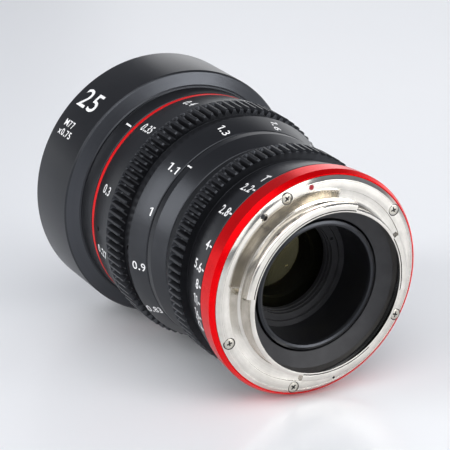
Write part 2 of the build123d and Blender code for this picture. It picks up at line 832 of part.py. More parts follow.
blade_count = 8
blade_open_radius = 8.4
blade_band_radius = 12.0
blade_band_start = -4.0
blade_band_end = 110.0
blade_thickness = 0.12
blade_pitch = 0.2
blade_swing = 29.2             # from the widest to the smallest stop
blade_pivot_radius = 15.0      # circle of the pivots
blade_pin_circle = 16.6        # circle of the drive pins at the widest stop
blade_pin_lead = 20.6          # how far a drive pin is ahead of its pivot
blade_pin_radius = 0.45
blade_lobe_radius = 1.0
blade_neck_width = 2.4
iris_plate_thickness = 0.8
iris_plate_inner_radius = 8.8
iris_chamber_radius = 18.0
cam_ring_seat_radius = 19.0
cam_ring_inner_radius = 12.7
cam_ring_thickness = 0.8
cam_ring_rim_width = 1.25
cam_ring_length = 2.6
iris_plate_rear = 30.4
blade_swing_share = blade_swing / aperture_travel
rest_swing = aperture_to_open * blade_swing_share
iris_plate_front = iris_plate_rear + iris_plate_thickness
blade_stack_rear = iris_plate_front + free_gap
blade_stack_front = blade_stack_rear + (blade_count - 1) * blade_pitch + blade_thickness
cam_ring_rear = blade_stack_front + free_gap
cam_ring_front = cam_ring_rear + cam_ring_length
cam_ring_radius = cam_ring_seat_radius - running_gap
cam_slot_points = 24


def blade_pin_place(swing):
    """Place of a drive pin on a facing plane, for a blade whose pivot is over +Z."""
    turn = radians(swing)
    along, across = polar(blade_pin_circle, blade_pin_lead)
    along = along - blade_pivot_radius
    return (
        blade_pivot_radius + along * cos(turn) - across * sin(turn),
        along * sin(turn) + across * cos(turn),
    )


def cam_slot_place(share):
    """Place of a cam slot's middle line on the ring as photographed, for a share of the aperture travel."""
    turn = aperture_travel * share
    along, across = blade_pin_place(turn * blade_swing_share)
    angle = degrees(atan2(across, along)) - turn + aperture_to_open
    return polar(hypot(along, across), angle)


def blade_blank(index):
    """A blade at the widest stop, in its layer of the stack, with its pivot over +Z."""
    layer = blade_stack_rear + index * blade_pitch
    pin_tip = cam_ring_rear + cam_ring_thickness
    pivot = polar(blade_pivot_radius, 0)
    pin = polar(blade_pin_circle, blade_pin_lead)
    band = sector(layer, blade_open_radius, blade_band_radius, blade_band_start, blade_band_end)
    with BuildPart() as blank:
        extrude(band, amount=blade_thickness)
        with BuildSketch(facing(layer)):
            with BuildLine():
                neck = Line(polar(blade_band_radius - blade_lobe_radius, 0), pivot)
            trace(neck, line_width=blade_neck_width)
            with BuildLine():
                tail = Line(pivot, pin)
            trace(tail, line_width=2 * blade_lobe_radius)
            with Locations(pivot, pin):
                Circle(blade_lobe_radius)
        extrude(amount=blade_thickness)
        with BuildSketch(facing(iris_plate_rear)):
            with Locations(pivot):
                Circle(blade_pin_radius)
        extrude(amount=layer - iris_plate_rear)
        with BuildSketch(facing(layer + blade_thickness)):
            with Locations(pin):
                Circle(blade_pin_radius)
        extrude(amount=pin_tip - layer - blade_thickness)
    return blank.part


for index in range(blade_count):
    swung = blade_blank(index).rotate(Axis((0, 0, blade_pivot_radius), (0, 1, 0)), rest_swing)
    with BuildPart() as iris_blade:
        add(swung.rotate(Axis.Y, 360 * index / blade_count))
    keep(iris_blade, "iris_blade_" + str(index + 1))

with BuildPart() as iris_base_plate:
    with BuildSketch(facing(iris_plate_rear)):
        Circle(iris_chamber_radius)
        Circle(iris_plate_inner_radius, mode=Mode.SUBTRACT)
        with PolarLocations(blade_pivot_radius, blade_count):
            Circle(blade_pin_radius + running_gap, mode=Mode.SUBTRACT)
    extrude(amount=iris_plate_thickness)
keep(iris_base_plate, "iris_base_plate")

with BuildPart() as one_cam_slot:
    with BuildSketch(facing(cam_ring_rear)):
        with BuildLine():
            slot_line = Spline([cam_slot_place(step / cam_slot_points) for step in range(cam_slot_points + 1)])
        trace(slot_line, line_width=2 * (blade_pin_radius + running_gap))
        with Locations(cam_slot_place(0), cam_slot_place(1)):
            Circle(blade_pin_radius + running_gap)
    extrude(amount=cam_ring_thickness)

drive_pin_inner_radius = cam_ring_radius - cam_ring_rim_width
drive_pin_outer_radius = fork_outer_radius - end_gap

with BuildPart() as iris_cam_ring:
    revolve(
        profile(
            (cam_ring_inner_radius, cam_ring_rear),
            (cam_ring_radius, cam_ring_rear),
            (cam_ring_radius, cam_ring_front),
            (drive_pin_inner_radius, cam_ring_front),
            (drive_pin_inner_radius, cam_ring_rear + cam_ring_thickness),
            (cam_ring_inner_radius, cam_ring_rear + cam_ring_thickness),
        ),
        axis=Axis.Y,
    )
    add(around(one_cam_slot.part, blade_count), mode=Mode.SUBTRACT)
    with BuildSketch(outward(drive_pin_station, drive_pin_inner_radius - overrun, drive_angle)):
        Circle(drive_pin_radius)
    extrude(amount=cam_ring_rim_width + 2 * overrun, mode=Mode.SUBTRACT)
keep(iris_cam_ring, "iris_cam_ring")

with BuildPart() as iris_drive_pin:
    with BuildSketch(outward(drive_pin_station, drive_pin_inner_radius, drive_angle)):
        Circle(drive_pin_radius)
    extrude(amount=drive_pin_outer_radius - drive_pin_inner_radius)
keep(iris_drive_pin, "iris_drive_pin")

# Rear cell: the rear tube, the seats of the rear elements and the iris chamber

rear_tube_rear = 0.4
rear_lip_round = 0.9
rear_tube_length = 7.6
rear_land_setback = 2.0
glide_land_length = 4.0
rear_ring_rear = 14.0
rear_ring_eye_radius = 13.8
rear_stop_radius = 9.5
cell_joint_length = 1.8
drive_window_margin = 0.3
cell_joint_radius = (cam_ring_seat_radius + cell_radius) / 2
rear_body_station = rear_tube_rear + rear_tube_length
rear_land_station = rear_body_station + rear_land_setback
glide_land_radius = barrel_bore_radius - running_gap
cell_joint_rear = cam_ring_front + end_gap
cell_joint_front = cell_joint_rear + cell_joint_length
rear_bore_end = rear_contact(lens_9, rear_ring_eye_radius)
drive_window_half_angle = degrees((drive_pin_radius + drive_window_margin) / cam_ring_seat_radius)

with BuildPart() as rear_cell:
    revolve(
        profile(
            (rear_tube_bore_radius, rear_tube_rear + rear_lip_round),
            (rear_tube_bore_radius + rear_lip_round * round_share, rear_tube_rear + rear_lip_round * round_share),
            (rear_tube_bore_radius + rear_lip_round, rear_tube_rear),
            (rear_tube_radius - rear_lip_round * round_share, rear_tube_rear + rear_lip_round * round_share),
            (rear_tube_radius, rear_tube_rear + rear_lip_round),
            (rear_tube_radius, rear_body_station),
            (cell_radius, rear_body_station),
            (cell_radius, rear_land_station),
            (glide_land_radius, rear_land_station),
            (glide_land_radius, rear_land_station + glide_land_length),
            (cell_radius, rear_land_station + glide_land_length),
            (cell_radius, cell_joint_front),
            (cell_joint_radius, cell_joint_front),
            (cell_joint_radius, cell_joint_rear),
            (cam_ring_seat_radius, cell_joint_rear),
            (cam_ring_seat_radius, cam_ring_rear - end_gap),
            (iris_chamber_radius, cam_ring_rear - end_gap),
            (iris_chamber_radius, iris_plate_rear),
            (rear_stop_radius, iris_plate_rear),
            (rear_stop_radius, front_rim(lens_7)),
            (lens_7.rim + lens_gap, front_rim(lens_7)),
            (lens_7.rim + lens_gap, front_rim(lens_9)),
            (lens_9.rim + lens_gap, front_rim(lens_9)),
            (lens_9.rim + lens_gap, rear_bore_end),
            (rear_tube_bore_radius, rear_bore_end),
        ),
        axis=Axis.Y,
    )
    drive_window = sector(
        drive_pin_station - drive_pin_radius - drive_window_margin,
        cam_ring_seat_radius - end_gap, cell_radius + overrun,
        drive_angle - aperture_to_open - drive_window_half_angle,
        drive_angle + aperture_to_closed + drive_window_half_angle,
    )
    extrude(drive_window, amount=2 * (drive_pin_radius + drive_window_margin), mode=Mode.SUBTRACT)
keep(rear_cell, "rear_cell")

# Retaining ring of the rear element, stepped against stray light, with two spanner holes

rear_ring_mouth_radius = 16.3
rear_ring_mouth_length = 1.0
rear_ring_step_width = 0.3
rear_ring_step_length = 1.2
spanner_hole_radius = 0.5
spanner_hole_angle = 64.0
spanner_hole_depth = 1.0
rear_ring_face = rear_ring_rear + rear_ring_mouth_length
rear_ring_first_radius = rear_ring_eye_radius + 2 * rear_ring_step_width
spanner_hole_circle = (rear_ring_mouth_radius + rear_ring_first_radius) / 2

with BuildPart() as rear_retaining_ring:
    revolve(
        profile(
            (rear_ring_mouth_radius, rear_ring_rear),
            (rear_tube_bore_radius, rear_ring_rear),
            (rear_tube_bore_radius, rear_bore_end),
            (rear_ring_eye_radius, rear_bore_end),
            (rear_ring_eye_radius, rear_ring_face + 2 * rear_ring_step_length),
            (rear_ring_eye_radius + rear_ring_step_width, rear_ring_face + 2 * rear_ring_step_length),
            (rear_ring_eye_radius + rear_ring_step_width, rear_ring_face + rear_ring_step_length),
            (rear_ring_first_radius, rear_ring_face + rear_ring_step_length),
            (rear_ring_first_radius, rear_ring_face),
            (rear_ring_mouth_radius, rear_ring_face),
        ),
        axis=Axis.Y,
    )
    with BuildSketch(facing(rear_ring_face)):
        with PolarLocations(spanner_hole_circle, 2, spanner_hole_angle):
            Circle(spanner_hole_radius)
    extrude(amount=spanner_hole_depth, mode=Mode.SUBTRACT)
keep(rear_retaining_ring, "rear_retaining_ring")

# Front cell: carries the front elements, with a spigot into the rear cell

cell_front = 88.0
front_land_station = 60.6
front_stop_radius = 10.8
follower_seat_depth = 1.4
follower_end_gap = 0.4
follower_inner_radius = cell_radius - follower_seat_depth
follower_outer_radius = sleeve_outer_radius - follower_end_gap
shoulder_3 = rear_contact(lens_3, lens_4.rim + lens_gap)
shoulder_4 = rear_contact(lens_4, lens_6.rim + lens_gap)

with BuildPart() as front_cell:
    revolve(
        profile(
            (front_stop_radius, cell_joint_rear),
            (cell_joint_radius, cell_joint_rear),
            (cell_joint_radius, cell_joint_front),
            (cell_radius, cell_joint_front),
            (cell_radius, front_land_station),
            (glide_land_radius, front_land_station),
            (glide_land_radius, front_land_station + glide_land_length),
            (cell_radius, front_land_station + glide_land_length),
            (cell_radius, cell_front - edge_break),
            (cell_radius - edge_break, cell_front),
            (lens_1.rim + lens_gap, cell_front),
            (lens_1.rim + lens_gap, rear_rim(lens_1)),
            (lens_3.rim + lens_gap, rear_rim(lens_1)),
            (lens_3.rim + lens_gap, shoulder_3),
            (lens_4.rim + lens_gap, shoulder_3),
            (lens_4.rim + lens_gap, shoulder_4),
            (lens_6.rim + lens_gap, shoulder_4),
            (lens_6.rim + lens_gap, rear_rim(lens_6)),
            (front_stop_radius, rear_rim(lens_6)),
        ),
        axis=Axis.Y,
    )
    for index in range(follower_count):
        angle = follower_angle + 360 * index / follower_count
        with BuildSketch(outward(guide_station, follower_inner_radius, angle)):
            Circle(follower_radius)
        extrude(amount=cell_radius - follower_inner_radius + overrun, mode=Mode.SUBTRACT)
keep(front_cell, "front_cell")

with BuildPart() as cam_followers:
    for index in range(follower_count):
        angle = follower_angle + 360 * index / follower_count
        with BuildSketch(outward(guide_station, follower_inner_radius, angle)):
            Circle(follower_radius)
        extrude(amount=follower_outer_radius - follower_inner_radius)
keep(cam_followers, "cam_followers")

# Retaining rings and spacers of the cells

retainer_width = 1.3
retainer_length = 1.6
front_retainer_mouth = 0.6


def retaining_ring(lens):
    """Section of a threaded ring in front of an element, touching it at the ring's inner edge."""
    outer = lens.rim + lens_gap
    inner = outer - retainer_width
    rear = front_contact(lens, inner)
    return profile((inner, rear), (outer, rear), (outer, rear + retainer_length), (inner, rear + retainer_length))


with BuildPart() as cell_retaining_rings:
    for lens in (lens_2, lens_4, lens_5):
        revolve(retaining_ring(lens), axis=Axis.Y)
keep(cell_retaining_rings, "cell_retaining_rings")

front_ring_outer_radius = lens_1.rim + lens_gap
front_ring_inner_radius = front_ring_outer_radius - retainer_width
front_ring_rear = front_contact(lens_1, front_ring_inner_radius)

with BuildPart() as front_retaining_ring:
    revolve(
        profile(
            (front_ring_inner_radius, front_ring_rear),
            (front_ring_outer_radius, front_ring_rear),
            (front_ring_outer_radius, cell_front - edge_break),
            (front_ring_inner_radius + front_retainer_mouth, cell_front - edge_break),
        ),
        axis=Axis.Y,
    )
keep(front_retaining_ring, "front_retaining_ring")

front_spacer_radius = lens_3.rim
front_spacer_inner_radius = front_spacer_radius - retainer_width
front_spacer_rear = front_contact(lens_3, front_spacer_inner_radius)
rear_spacer_radius = lens_8.rim
rear_spacer_inner_radius = rear_spacer_radius - retainer_width
rear_spacer_rear = front_contact(lens_9, rear_spacer_radius)
rear_spacer_front = rear_contact(lens_8, rear_spacer_inner_radius)

with BuildPart() as cell_spacers:
    revolve(
        profile(
            (front_spacer_inner_radius, front_spacer_rear),
            (front_spacer_radius, front_spacer_rear),
            (front_spacer_radius, rear_rim(lens_2)),
            (front_spacer_inner_radius, rear_rim(lens_2)),
        ),
        axis=Axis.Y,
    )
    revolve(
        profile(
            (rear_spacer_inner_radius, rear_spacer_rear),
            (rear_spacer_radius, rear_spacer_rear),
            (rear_spacer_radius, rear_spacer_front),
            (rear_spacer_inner_radius, rear_spacer_front),
        ),
        axis=Axis.Y,
    )
keep(cell_spacers, "cell_spacers")

# Aperture ring: scale band at the rear, gear and a smooth front band

scale_band_rear_wall = 5.2
scale_band_front_wall = 2.4
scale_band_length = 11.6
iris_gear_offset = 12.5
iris_gear_length = 6.2
aperture_front_wall = 2.6
scale_band_rear_radius = barrel_outer_radius + scale_band_rear_wall
scale_band_front_radius = barrel_outer_radius + scale_band_front_wall
aperture_front_radius = barrel_outer_radius + aperture_front_wall
iris_gear_rear = aperture_ring_rear + iris_gear_offset
iris_gear_front = iris_gear_rear + iris_gear_length

with BuildPart() as aperture_ring:
    revolve(
        profile(
            (ring_bore_radius, aperture_ring_rear),
            (scale_band_rear_radius - edge_break, aperture_ring_rear),
            (scale_band_rear_radius, aperture_ring_rear + edge_break),
            (scale_band_front_radius, aperture_ring_rear + scale_band_length),
            (scale_band_front_radius, iris_gear_rear),
            (tip_radius(iris_teeth) - gear_edge_break, iris_gear_rear),
            (tip_radius(iris_teeth), iris_gear_rear + gear_edge_break),
            (tip_radius(iris_teeth), iris_gear_front),
            (aperture_front_radius, aperture_ring_front - edge_break),
            (aperture_front_radius - edge_break, aperture_ring_front),
            (ring_bore_radius, aperture_ring_front),
        ),
        axis=Axis.Y,
    )
    add(tooth_spaces(iris_teeth, iris_gear_rear, iris_gear_front), mode=Mode.SUBTRACT)
    for offset in (-fork_screw_spread, fork_screw_spread):
        with BuildSketch(outward(fork_screw_station, fork_inner_radius, drive_angle + offset)):
            Circle(fork_screw_radius)
        extrude(amount=ring_bore_radius + fork_screw_reach - fork_inner_radius, mode=Mode.SUBTRACT)
keep(aperture_ring, "aperture_ring")

with BuildPart() as aperture_fork:
    fork_start = drive_angle - fork_half_angle
    fork_end = drive_angle + fork_half_angle
    prongs = sector(fork_rear, fork_inner_radius, fork_outer_radius, fork_start, fork_end)
    extrude(prongs, amount=fork_front - fork_rear)
    foot = sector(fork_rear, fork_inner_radius, ring_bore_radius, fork_start, fork_end)
    extrude(foot, amount=fork_foot_length)
    with BuildSketch(outward((fork_slot_root + fork_front + overrun) / 2, fork_inner_radius - overrun, drive_angle)):
        Rectangle(fork_front + overrun - fork_slot_root, 2 * (drive_pin_radius + running_gap))
    extrude(amount=ring_bore_radius - fork_inner_radius + 2 * overrun, mode=Mode.SUBTRACT)
    for offset in (-fork_screw_spread, fork_screw_spread):
        with BuildSketch(outward(fork_screw_station, fork_inner_radius - overrun, drive_angle + offset)):
            Circle(fork_screw_radius)
        extrude(amount=ring_bore_radius - fork_inner_radius + 2 * overrun, mode=Mode.SUBTRACT)
        with BuildSketch(outward(fork_screw_station, fork_inner_radius - overrun, drive_angle + offset)):
            Circle(fork_screw_head_radius)
        extrude(amount=overrun + fork_screw_head_height, mode=Mode.SUBTRACT)
keep(aperture_fork, "aperture_fork")

with BuildPart() as fork_screws:
    for offset in (-fork_screw_spread, fork_screw_spread):
        with BuildSketch(outward(fork_screw_station, fork_inner_radius, drive_angle + offset)):
            Circle(fork_screw_head_radius)
        extrude(amount=fork_screw_head_height)
        shank_start = fork_inner_radius + fork_screw_head_height
        with BuildSketch(outward(fork_screw_station, shank_start, drive_angle + offset)):
            Circle(fork_screw_radius)
        extrude(amount=ring_bore_radius + fork_screw_reach - shank_start)
keep(fork_screws, "fork_screws")
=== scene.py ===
"""Looks of a cinema prime lens that lies on its side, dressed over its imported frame.

Sizes are in millimetres and angles in degrees, and MM brings them to the frame's metres. The optical axis
is +Y and points to the front of the lens. Angles round it are measured from +Z towards +X.
"""

from math import cos, degrees, hypot, pi, radians, sin, tan

import bmesh
import bpy
from mathutils import Matrix, Vector
from mathutils.bvhtree import BVHTree


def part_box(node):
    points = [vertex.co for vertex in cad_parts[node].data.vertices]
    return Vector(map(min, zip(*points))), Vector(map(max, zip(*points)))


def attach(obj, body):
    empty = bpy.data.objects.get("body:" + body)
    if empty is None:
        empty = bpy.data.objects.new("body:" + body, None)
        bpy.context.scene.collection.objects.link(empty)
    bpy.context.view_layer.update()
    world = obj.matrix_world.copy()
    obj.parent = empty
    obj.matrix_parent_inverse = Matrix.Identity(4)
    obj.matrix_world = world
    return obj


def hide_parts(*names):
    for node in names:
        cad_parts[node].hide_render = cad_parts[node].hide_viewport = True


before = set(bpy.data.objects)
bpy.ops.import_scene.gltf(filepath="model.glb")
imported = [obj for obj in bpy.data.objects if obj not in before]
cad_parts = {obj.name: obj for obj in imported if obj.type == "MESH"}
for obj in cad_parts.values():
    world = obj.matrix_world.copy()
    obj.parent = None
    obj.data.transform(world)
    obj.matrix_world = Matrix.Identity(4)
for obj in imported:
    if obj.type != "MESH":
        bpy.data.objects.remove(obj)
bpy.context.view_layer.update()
scene = bpy.context.scene

MM = 0.001

# Stations of the rings, read from the frame


def reach(node):
    """First and last station of a node, and its largest radius, in millimetres."""
    low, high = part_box(node)
    return low.y / MM, high.y / MM, high.z / MM


base_rear, base_front, base_radius = reach("mount_base_ring")
aperture_rear, aperture_front, iris_tip_radius = reach("aperture_ring")
mid_rear, mid_front, mid_radius = reach("mid_barrel")
focus_rear, focus_front, focus_tip_radius = reach("focus_ring")
neck_rear, barrel_end, front_radius = reach("front_barrel")
bezel_rear, bezel_front, bezel_radius = reach("front_bezel")
lip_rear, flange_front, flange_radius = reach("bayonet_mount")

# Shapes of the rings, as in the frame

ring_bore_radius = 28.9
edge_break = 0.25
gear_module = 0.8
pressure_angle = 20.0
gear_run_out = 1.6
gear_edge_break = 0.45
tooth_height = 2.25 * gear_module

# Small rounds on the edges of the turned rings

edge_round = 0.09
round_steps = 3
straight_bend = 4.0
largest_cut_share = 0.4
ring_segments = 360
sharp_edge = 32.0

# Mesh helpers


def point(radius, station, angle):
    """Point in metres at a radius, a station and an angle round the axis."""
    turn = radians(angle)
    return Vector((radius * sin(turn), station, radius * cos(turn))) * MM


def shade(mesh):
    """Smooth shading, apart from sharp edges, with all faces turned outwards."""
    shape = bmesh.new()
    shape.from_mesh(mesh)
    bmesh.ops.recalc_face_normals(shape, faces=shape.faces)
    for face in shape.faces:
        face.smooth = True
    for edge in shape.edges:
        edge.smooth = edge.is_manifold and edge.calc_face_angle() < radians(sharp_edge)
    shape.to_mesh(mesh)
    shape.free()


def add_mesh(name, vertices, faces):
    """New object from vertices in metres."""
    mesh = bpy.data.meshes.new(name)
    mesh.from_pydata(vertices, [], faces)
    shade(mesh)
    obj = bpy.data.objects.new(name, mesh)
    scene.collection.objects.link(obj)
    return obj


def rounded(outline, size=edge_round):
    """Outline with a small arc at each of its corners."""
    points = []
    for index, corner in enumerate(outline):
        here = Vector(corner)
        before = Vector(outline[index - 1]) - here
        after = Vector(outline[(index + 1) % len(outline)]) - here
        bend = before.angle(-after)
        if bend < radians(straight_bend):
            points.append(tuple(here))
            continue
        cut = min(size, before.length * largest_cut_share, after.length * largest_cut_share)
        start = here + before.normalized() * cut
        end = here + after.normalized() * cut
        for step in range(round_steps + 1):
            share = step / round_steps
            mixed = start * (1 - share) ** 2 + here * 2 * share * (1 - share) + end * share ** 2
            points.append(tuple(mixed))
    return points


def swept_round(name, columns, rows, place):
    """Closed tube of rows by columns round the axis. place(column, row) gives the radius and station."""
    vertices = []
    for column in columns:
        for row in rows:
            radius, station = place(column, row)
            vertices.append(point(radius, station, column[0]))
    faces = []
    depth = len(rows)
    for across in range(len(columns)):
        onward = (across + 1) % len(columns)
        for along in range(depth):
            ahead = (along + 1) % depth
            left, right = across * depth, onward * depth
            faces.append((left + along, left + ahead, right + ahead, right + along))
    return add_mesh(name, vertices, faces)


def turned(name, outline, size=edge_round):
    """Solid of revolution from a closed outline of radius and station."""
    columns = [(360 * index / ring_segments,) for index in range(ring_segments)]
    return swept_round(name, columns, rounded(outline, size), lambda column, row: row)


def joined(name, parts):
    """One object from several, which are used up."""
    shape = bmesh.new()
    for part in parts:
        copy = part.data.copy()
        copy.transform(part.matrix_world)
        shape.from_mesh(copy)
        bpy.data.meshes.remove(copy)
    mesh = bpy.data.meshes.new(name)
    shape.to_mesh(mesh)
    shape.free()
    for part in parts:
        bpy.data.objects.remove(part)
    obj = bpy.data.objects.new(name, mesh)
    scene.collection.objects.link(obj)
    return obj


def cut_away(obj, cutters):
    """Takes the cutters' space out of an object's mesh."""
    tool = joined(obj.name + "_cut", cutters)
    modifier = obj.modifiers.new("cut", "BOOLEAN")
    modifier.object = tool
    modifier.operation = "DIFFERENCE"
    modifier.solver = "EXACT"
    result = bpy.data.meshes.new_from_object(obj.evaluated_get(bpy.context.evaluated_depsgraph_get()))
    obj.modifiers.clear()
    obj.data = result
    shade(result)
    bpy.data.objects.remove(tool)
    return obj


def stud(name, outline, at, along, sides=40):
    """Solid of revolution about a line. The outline holds radii and heights above the line's start."""
    turn = along.to_track_quat("Z", "Y").to_matrix().to_4x4()
    place = Matrix.Translation(at * MM) @ turn
    vertices = [place @ Vector((0, 0, outline[0][1] * MM))]
    for radius, height in outline:
        for side in range(sides):
            angle = 2 * pi * side / sides
            vertices.append(place @ (Vector((radius * cos(angle), radius * sin(angle), height)) * MM))
    vertices.append(place @ Vector((0, 0, outline[-1][1] * MM)))
    faces = []
    last = len(vertices) - 1
    top = 1 + (len(outline) - 1) * sides
    for side in range(sides):
        onward = (side + 1) % sides
        faces.append((0, 1 + onward, 1 + side))
        faces.append((last, top + side, top + onward))
        for level in range(len(outline) - 1):
            low = 1 + level * sides
            faces.append((low + side, low + onward, low + sides + onward, low + sides + side))
    return add_mesh(name, vertices, faces)


def rod(radius, length, at, along):
    """Closed round rod from a point along a direction."""
    return stud("rod", ((radius, 0), (radius, length)), at, along)


def arc_piece(name, outline, start, end):
    """Part of a turned piece between two angles, with flat ends."""
    count = round(end - start)
    outline = rounded(outline)
    depth = len(outline)
    vertices = []
    for index in range(count + 1):
        for radius, station in outline:
            vertices.append(point(radius, station, start + (end - start) * index / count))
    faces = [tuple(range(depth)), tuple(reversed(range(count * depth, (count + 1) * depth)))]
    for index in range(count):
        for along in range(depth):
            ahead = (along + 1) % depth
            low = index * depth
            faces.append((low + along, low + ahead, low + depth + ahead, low + depth + along))
    return add_mesh(name, vertices, faces)


# Toothed rings: a turned outline whose teeth follow the angle as well

tooth_corner = 0.09
addendum = gear_module
dedendum = 1.25 * gear_module
run_out_steps = 8


def tooth_columns(teeth, tip):
    """Angles round a gear with the height of the tooth form at each, space by space."""
    root = tip - tooth_height
    flank = tan(radians(pressure_angle))
    half_space = pi * gear_module / 4
    half_root = degrees((half_space - flank * dedendum) / root)
    half_top = degrees((half_space + flank * addendum) / tip)
    ease = degrees(tooth_corner / tip)
    half_pitch = 180 / teeth
    steps = (
        (half_root * 0.5, root),
        (half_root - ease, root + tooth_corner * 0.2),
        (half_root + ease * 0.4, root + tooth_corner),
        (half_top - ease * 0.4, tip - tooth_corner),
        (half_top + ease * 0.3, tip - tooth_corner * 0.3),
        (half_top + ease, tip),
        (half_pitch * 0.86, tip),
    )
    columns = []
    for index in range(teeth):
        middle = 360 * index / teeth
        for angle, radius in reversed(steps):
            columns.append((middle - angle, radius))
        columns.append((middle, root))
        for angle, radius in steps:
            columns.append((middle + angle, radius))
    return columns


def geared(name, outline, teeth, tip, gear_rear, gear_front):
    """Turned ring with a gear between two stations. The tooth spaces run out in a curve at the front."""
    root = tip - tooth_height
    run_out_start = gear_front - gear_run_out

    def place(column, row):
        radius, station = row
        if radius <= root or station < gear_rear or station > gear_front:
            return row
        into = max(0.0, (station - run_out_start) / gear_run_out)
        floor = root + tooth_height * into ** 2
        return min(radius, max(column[1], floor)), station

    rows = []
    outline = rounded(outline)
    for index, here in enumerate(outline):
        after = outline[(index + 1) % len(outline)]
        rows.append(here)
        toothed = here[0] > root and after[0] > root
        if toothed and after[1] > run_out_start and after[1] - here[1] > gear_run_out:
            first = max(here[1], run_out_start)
            for step in range(run_out_steps):
                station = first + (gear_front - first) * step / run_out_steps
                if here[1] < station < after[1]:
                    share = (station - here[1]) / (after[1] - here[1])
                    rows.append((here[0] + (after[0] - here[0]) * share, station))
    return swept_round(name, tooth_columns(teeth, tip), rows, place)


# Materials

mark_height = 0.03 * MM
glass_index = 1.52
film_index = 1.38


def start_material(name):
    """Empty node material with a Principled shader, and a function that adds nodes to it."""
    material = bpy.data.materials.new(name)
    material.use_nodes = True
    tree = material.node_tree
    shader = tree.nodes["Principled BSDF"]

    def add(kind, settings=None, inputs=None):
        node = tree.nodes.new(kind)
        for key, value in (settings or {}).items():
            setattr(node, key, value)
        for key, value in (inputs or {}).items():
            if isinstance(value, bpy.types.NodeSocket):
                tree.links.new(value, node.inputs[key])
            else:
                node.inputs[key].default_value = value
        return node

    return material, tree, shader, add


def grain(add, vector, scale, detail=2.0, rough=0.5):
    """Noise value over a vector."""
    return add("ShaderNodeTexNoise", inputs={
        "Vector": vector, "Scale": scale, "Detail": detail, "Roughness": rough,
    }).outputs["Fac"]


def spread(add, value, low, high, start=0.3, end=0.7):
    """Value brought to a range."""
    return add("ShaderNodeMapRange", inputs={
        "Value": value, "From Min": start, "From Max": end, "To Min": low, "To Max": high,
    }).outputs["Result"]


def ramp(add, value, *stops):
    """Colours along a value."""
    node = add("ShaderNodeValToRGB", inputs={"Fac": value})
    line = node.color_ramp
    while len(line.elements) < len(stops):
        line.elements.new(0.5)
    for element, (place, colour) in zip(line.elements, stops):
        element.position = place
        element.color = (*colour, 1.0)
    return node.outputs["Color"]


def turning_marks(add, across):
    """Place of fine lathe marks, which change along the axis, or across it on a flat face."""
    place = add("ShaderNodeTexCoord").outputs["Object"]
    parts = add("ShaderNodeSeparateXYZ", inputs={"Vector": place})
    if across:
        flat = add("ShaderNodeCombineXYZ", inputs={"X": parts.outputs["X"], "Y": parts.outputs["Z"]})
        length = add("ShaderNodeVectorMath", {"operation": "LENGTH"}, {0: flat.outputs["Vector"]})
        measure = length.outputs["Value"]
    else:
        measure = parts.outputs["Y"]
    line = add("ShaderNodeCombineXYZ", inputs={"X": measure})
    return line.outputs["Vector"], place


def total(add, first, second):
    """Sum of two values."""
    return add("ShaderNodeMath", {"operation": "ADD"}, {0: first, 1: second}).outputs["Value"]


def mottled(add, first, second, dark, light, start=0.2):
    """Colour between a dark and a light one, by two noises together."""
    value = total(add, spread(add, first, 0.0, 0.5), spread(add, second, 0.0, 0.5))
    return ramp(add, value, (start, dark), (0.9, light))


def bumpy(add, height, strength):
    """Normal of a surface with marks a few hundredths of a millimetre high."""
    return add("ShaderNodeBump", inputs={
        "Strength": strength, "Distance": mark_height, "Height": height,
    }).outputs["Normal"]


def anodised(name, dark, light, roughness, marks, metallic=0.0, specular=0.5, sheen=(1.0, 1.0, 1.0)):
    """Anodised aluminium with fine turning marks and a slight grain."""
    material, tree, shader, add = start_material(name)
    line, place = turning_marks(add, False)
    coarse = grain(add, line, 2600, 3.0)
    fine = grain(add, line, 9000, 2.0)
    speckle = grain(add, place, 7000, 3.0, 0.6)
    cloud = grain(add, place, 90, 3.0, 0.6)
    tree.links.new(mottled(add, coarse, cloud, dark, light), shader.inputs["Base Color"])
    both = total(add, spread(add, fine, 0, 0.6), spread(add, speckle, 0, 0.4))
    rough = spread(add, both, roughness * 0.88, roughness * 1.14, 0.0, 1.0)
    tree.links.new(rough, shader.inputs["Roughness"])
    tree.links.new(bumpy(add, total(add, fine, speckle), marks), shader.inputs["Normal"])
    shader.inputs["Metallic"].default_value = metallic
    shader.inputs["Specular IOR Level"].default_value = specular
    shader.inputs["Specular Tint"].default_value = (*sheen, 1.0)
    return material


def bright_metal(name, dark, light, roughness, marks=0.25):
    """Machined metal with turning marks that break up its reflections."""
    material, tree, shader, add = start_material(name)
    line, place = turning_marks(add, True)
    coarse = grain(add, line, 1500, 4.0)
    fine = grain(add, line, 7000, 3.0)
    cloud = grain(add, place, 160, 4.0, 0.65)
    tree.links.new(mottled(add, coarse, cloud, dark, light, 0.1), shader.inputs["Base Color"])
    tree.links.new(spread(add, coarse, roughness * 0.75, roughness * 1.3), shader.inputs["Roughness"])
    tree.links.new(bumpy(add, fine, marks), shader.inputs["Normal"])
    shader.inputs["Metallic"].default_value = 1.0
    return material


def paint(name, dark, light, roughness, bumps=0.2):
    """Flat paint or plastic with a fine uneven surface."""
    material, tree, shader, add = start_material(name)
    place = add("ShaderNodeTexCoord").outputs["Object"]
    speckle = grain(add, place, 5000, 4.0, 0.6)
    cloud = grain(add, place, 220, 3.0, 0.6)
    tree.links.new(mottled(add, speckle, cloud, dark, light), shader.inputs["Base Color"])
    tree.links.new(spread(add, speckle, roughness * 0.85, roughness * 1.15), shader.inputs["Roughness"])
    tree.links.new(bumpy(add, speckle, bumps), shader.inputs["Normal"])
    return material


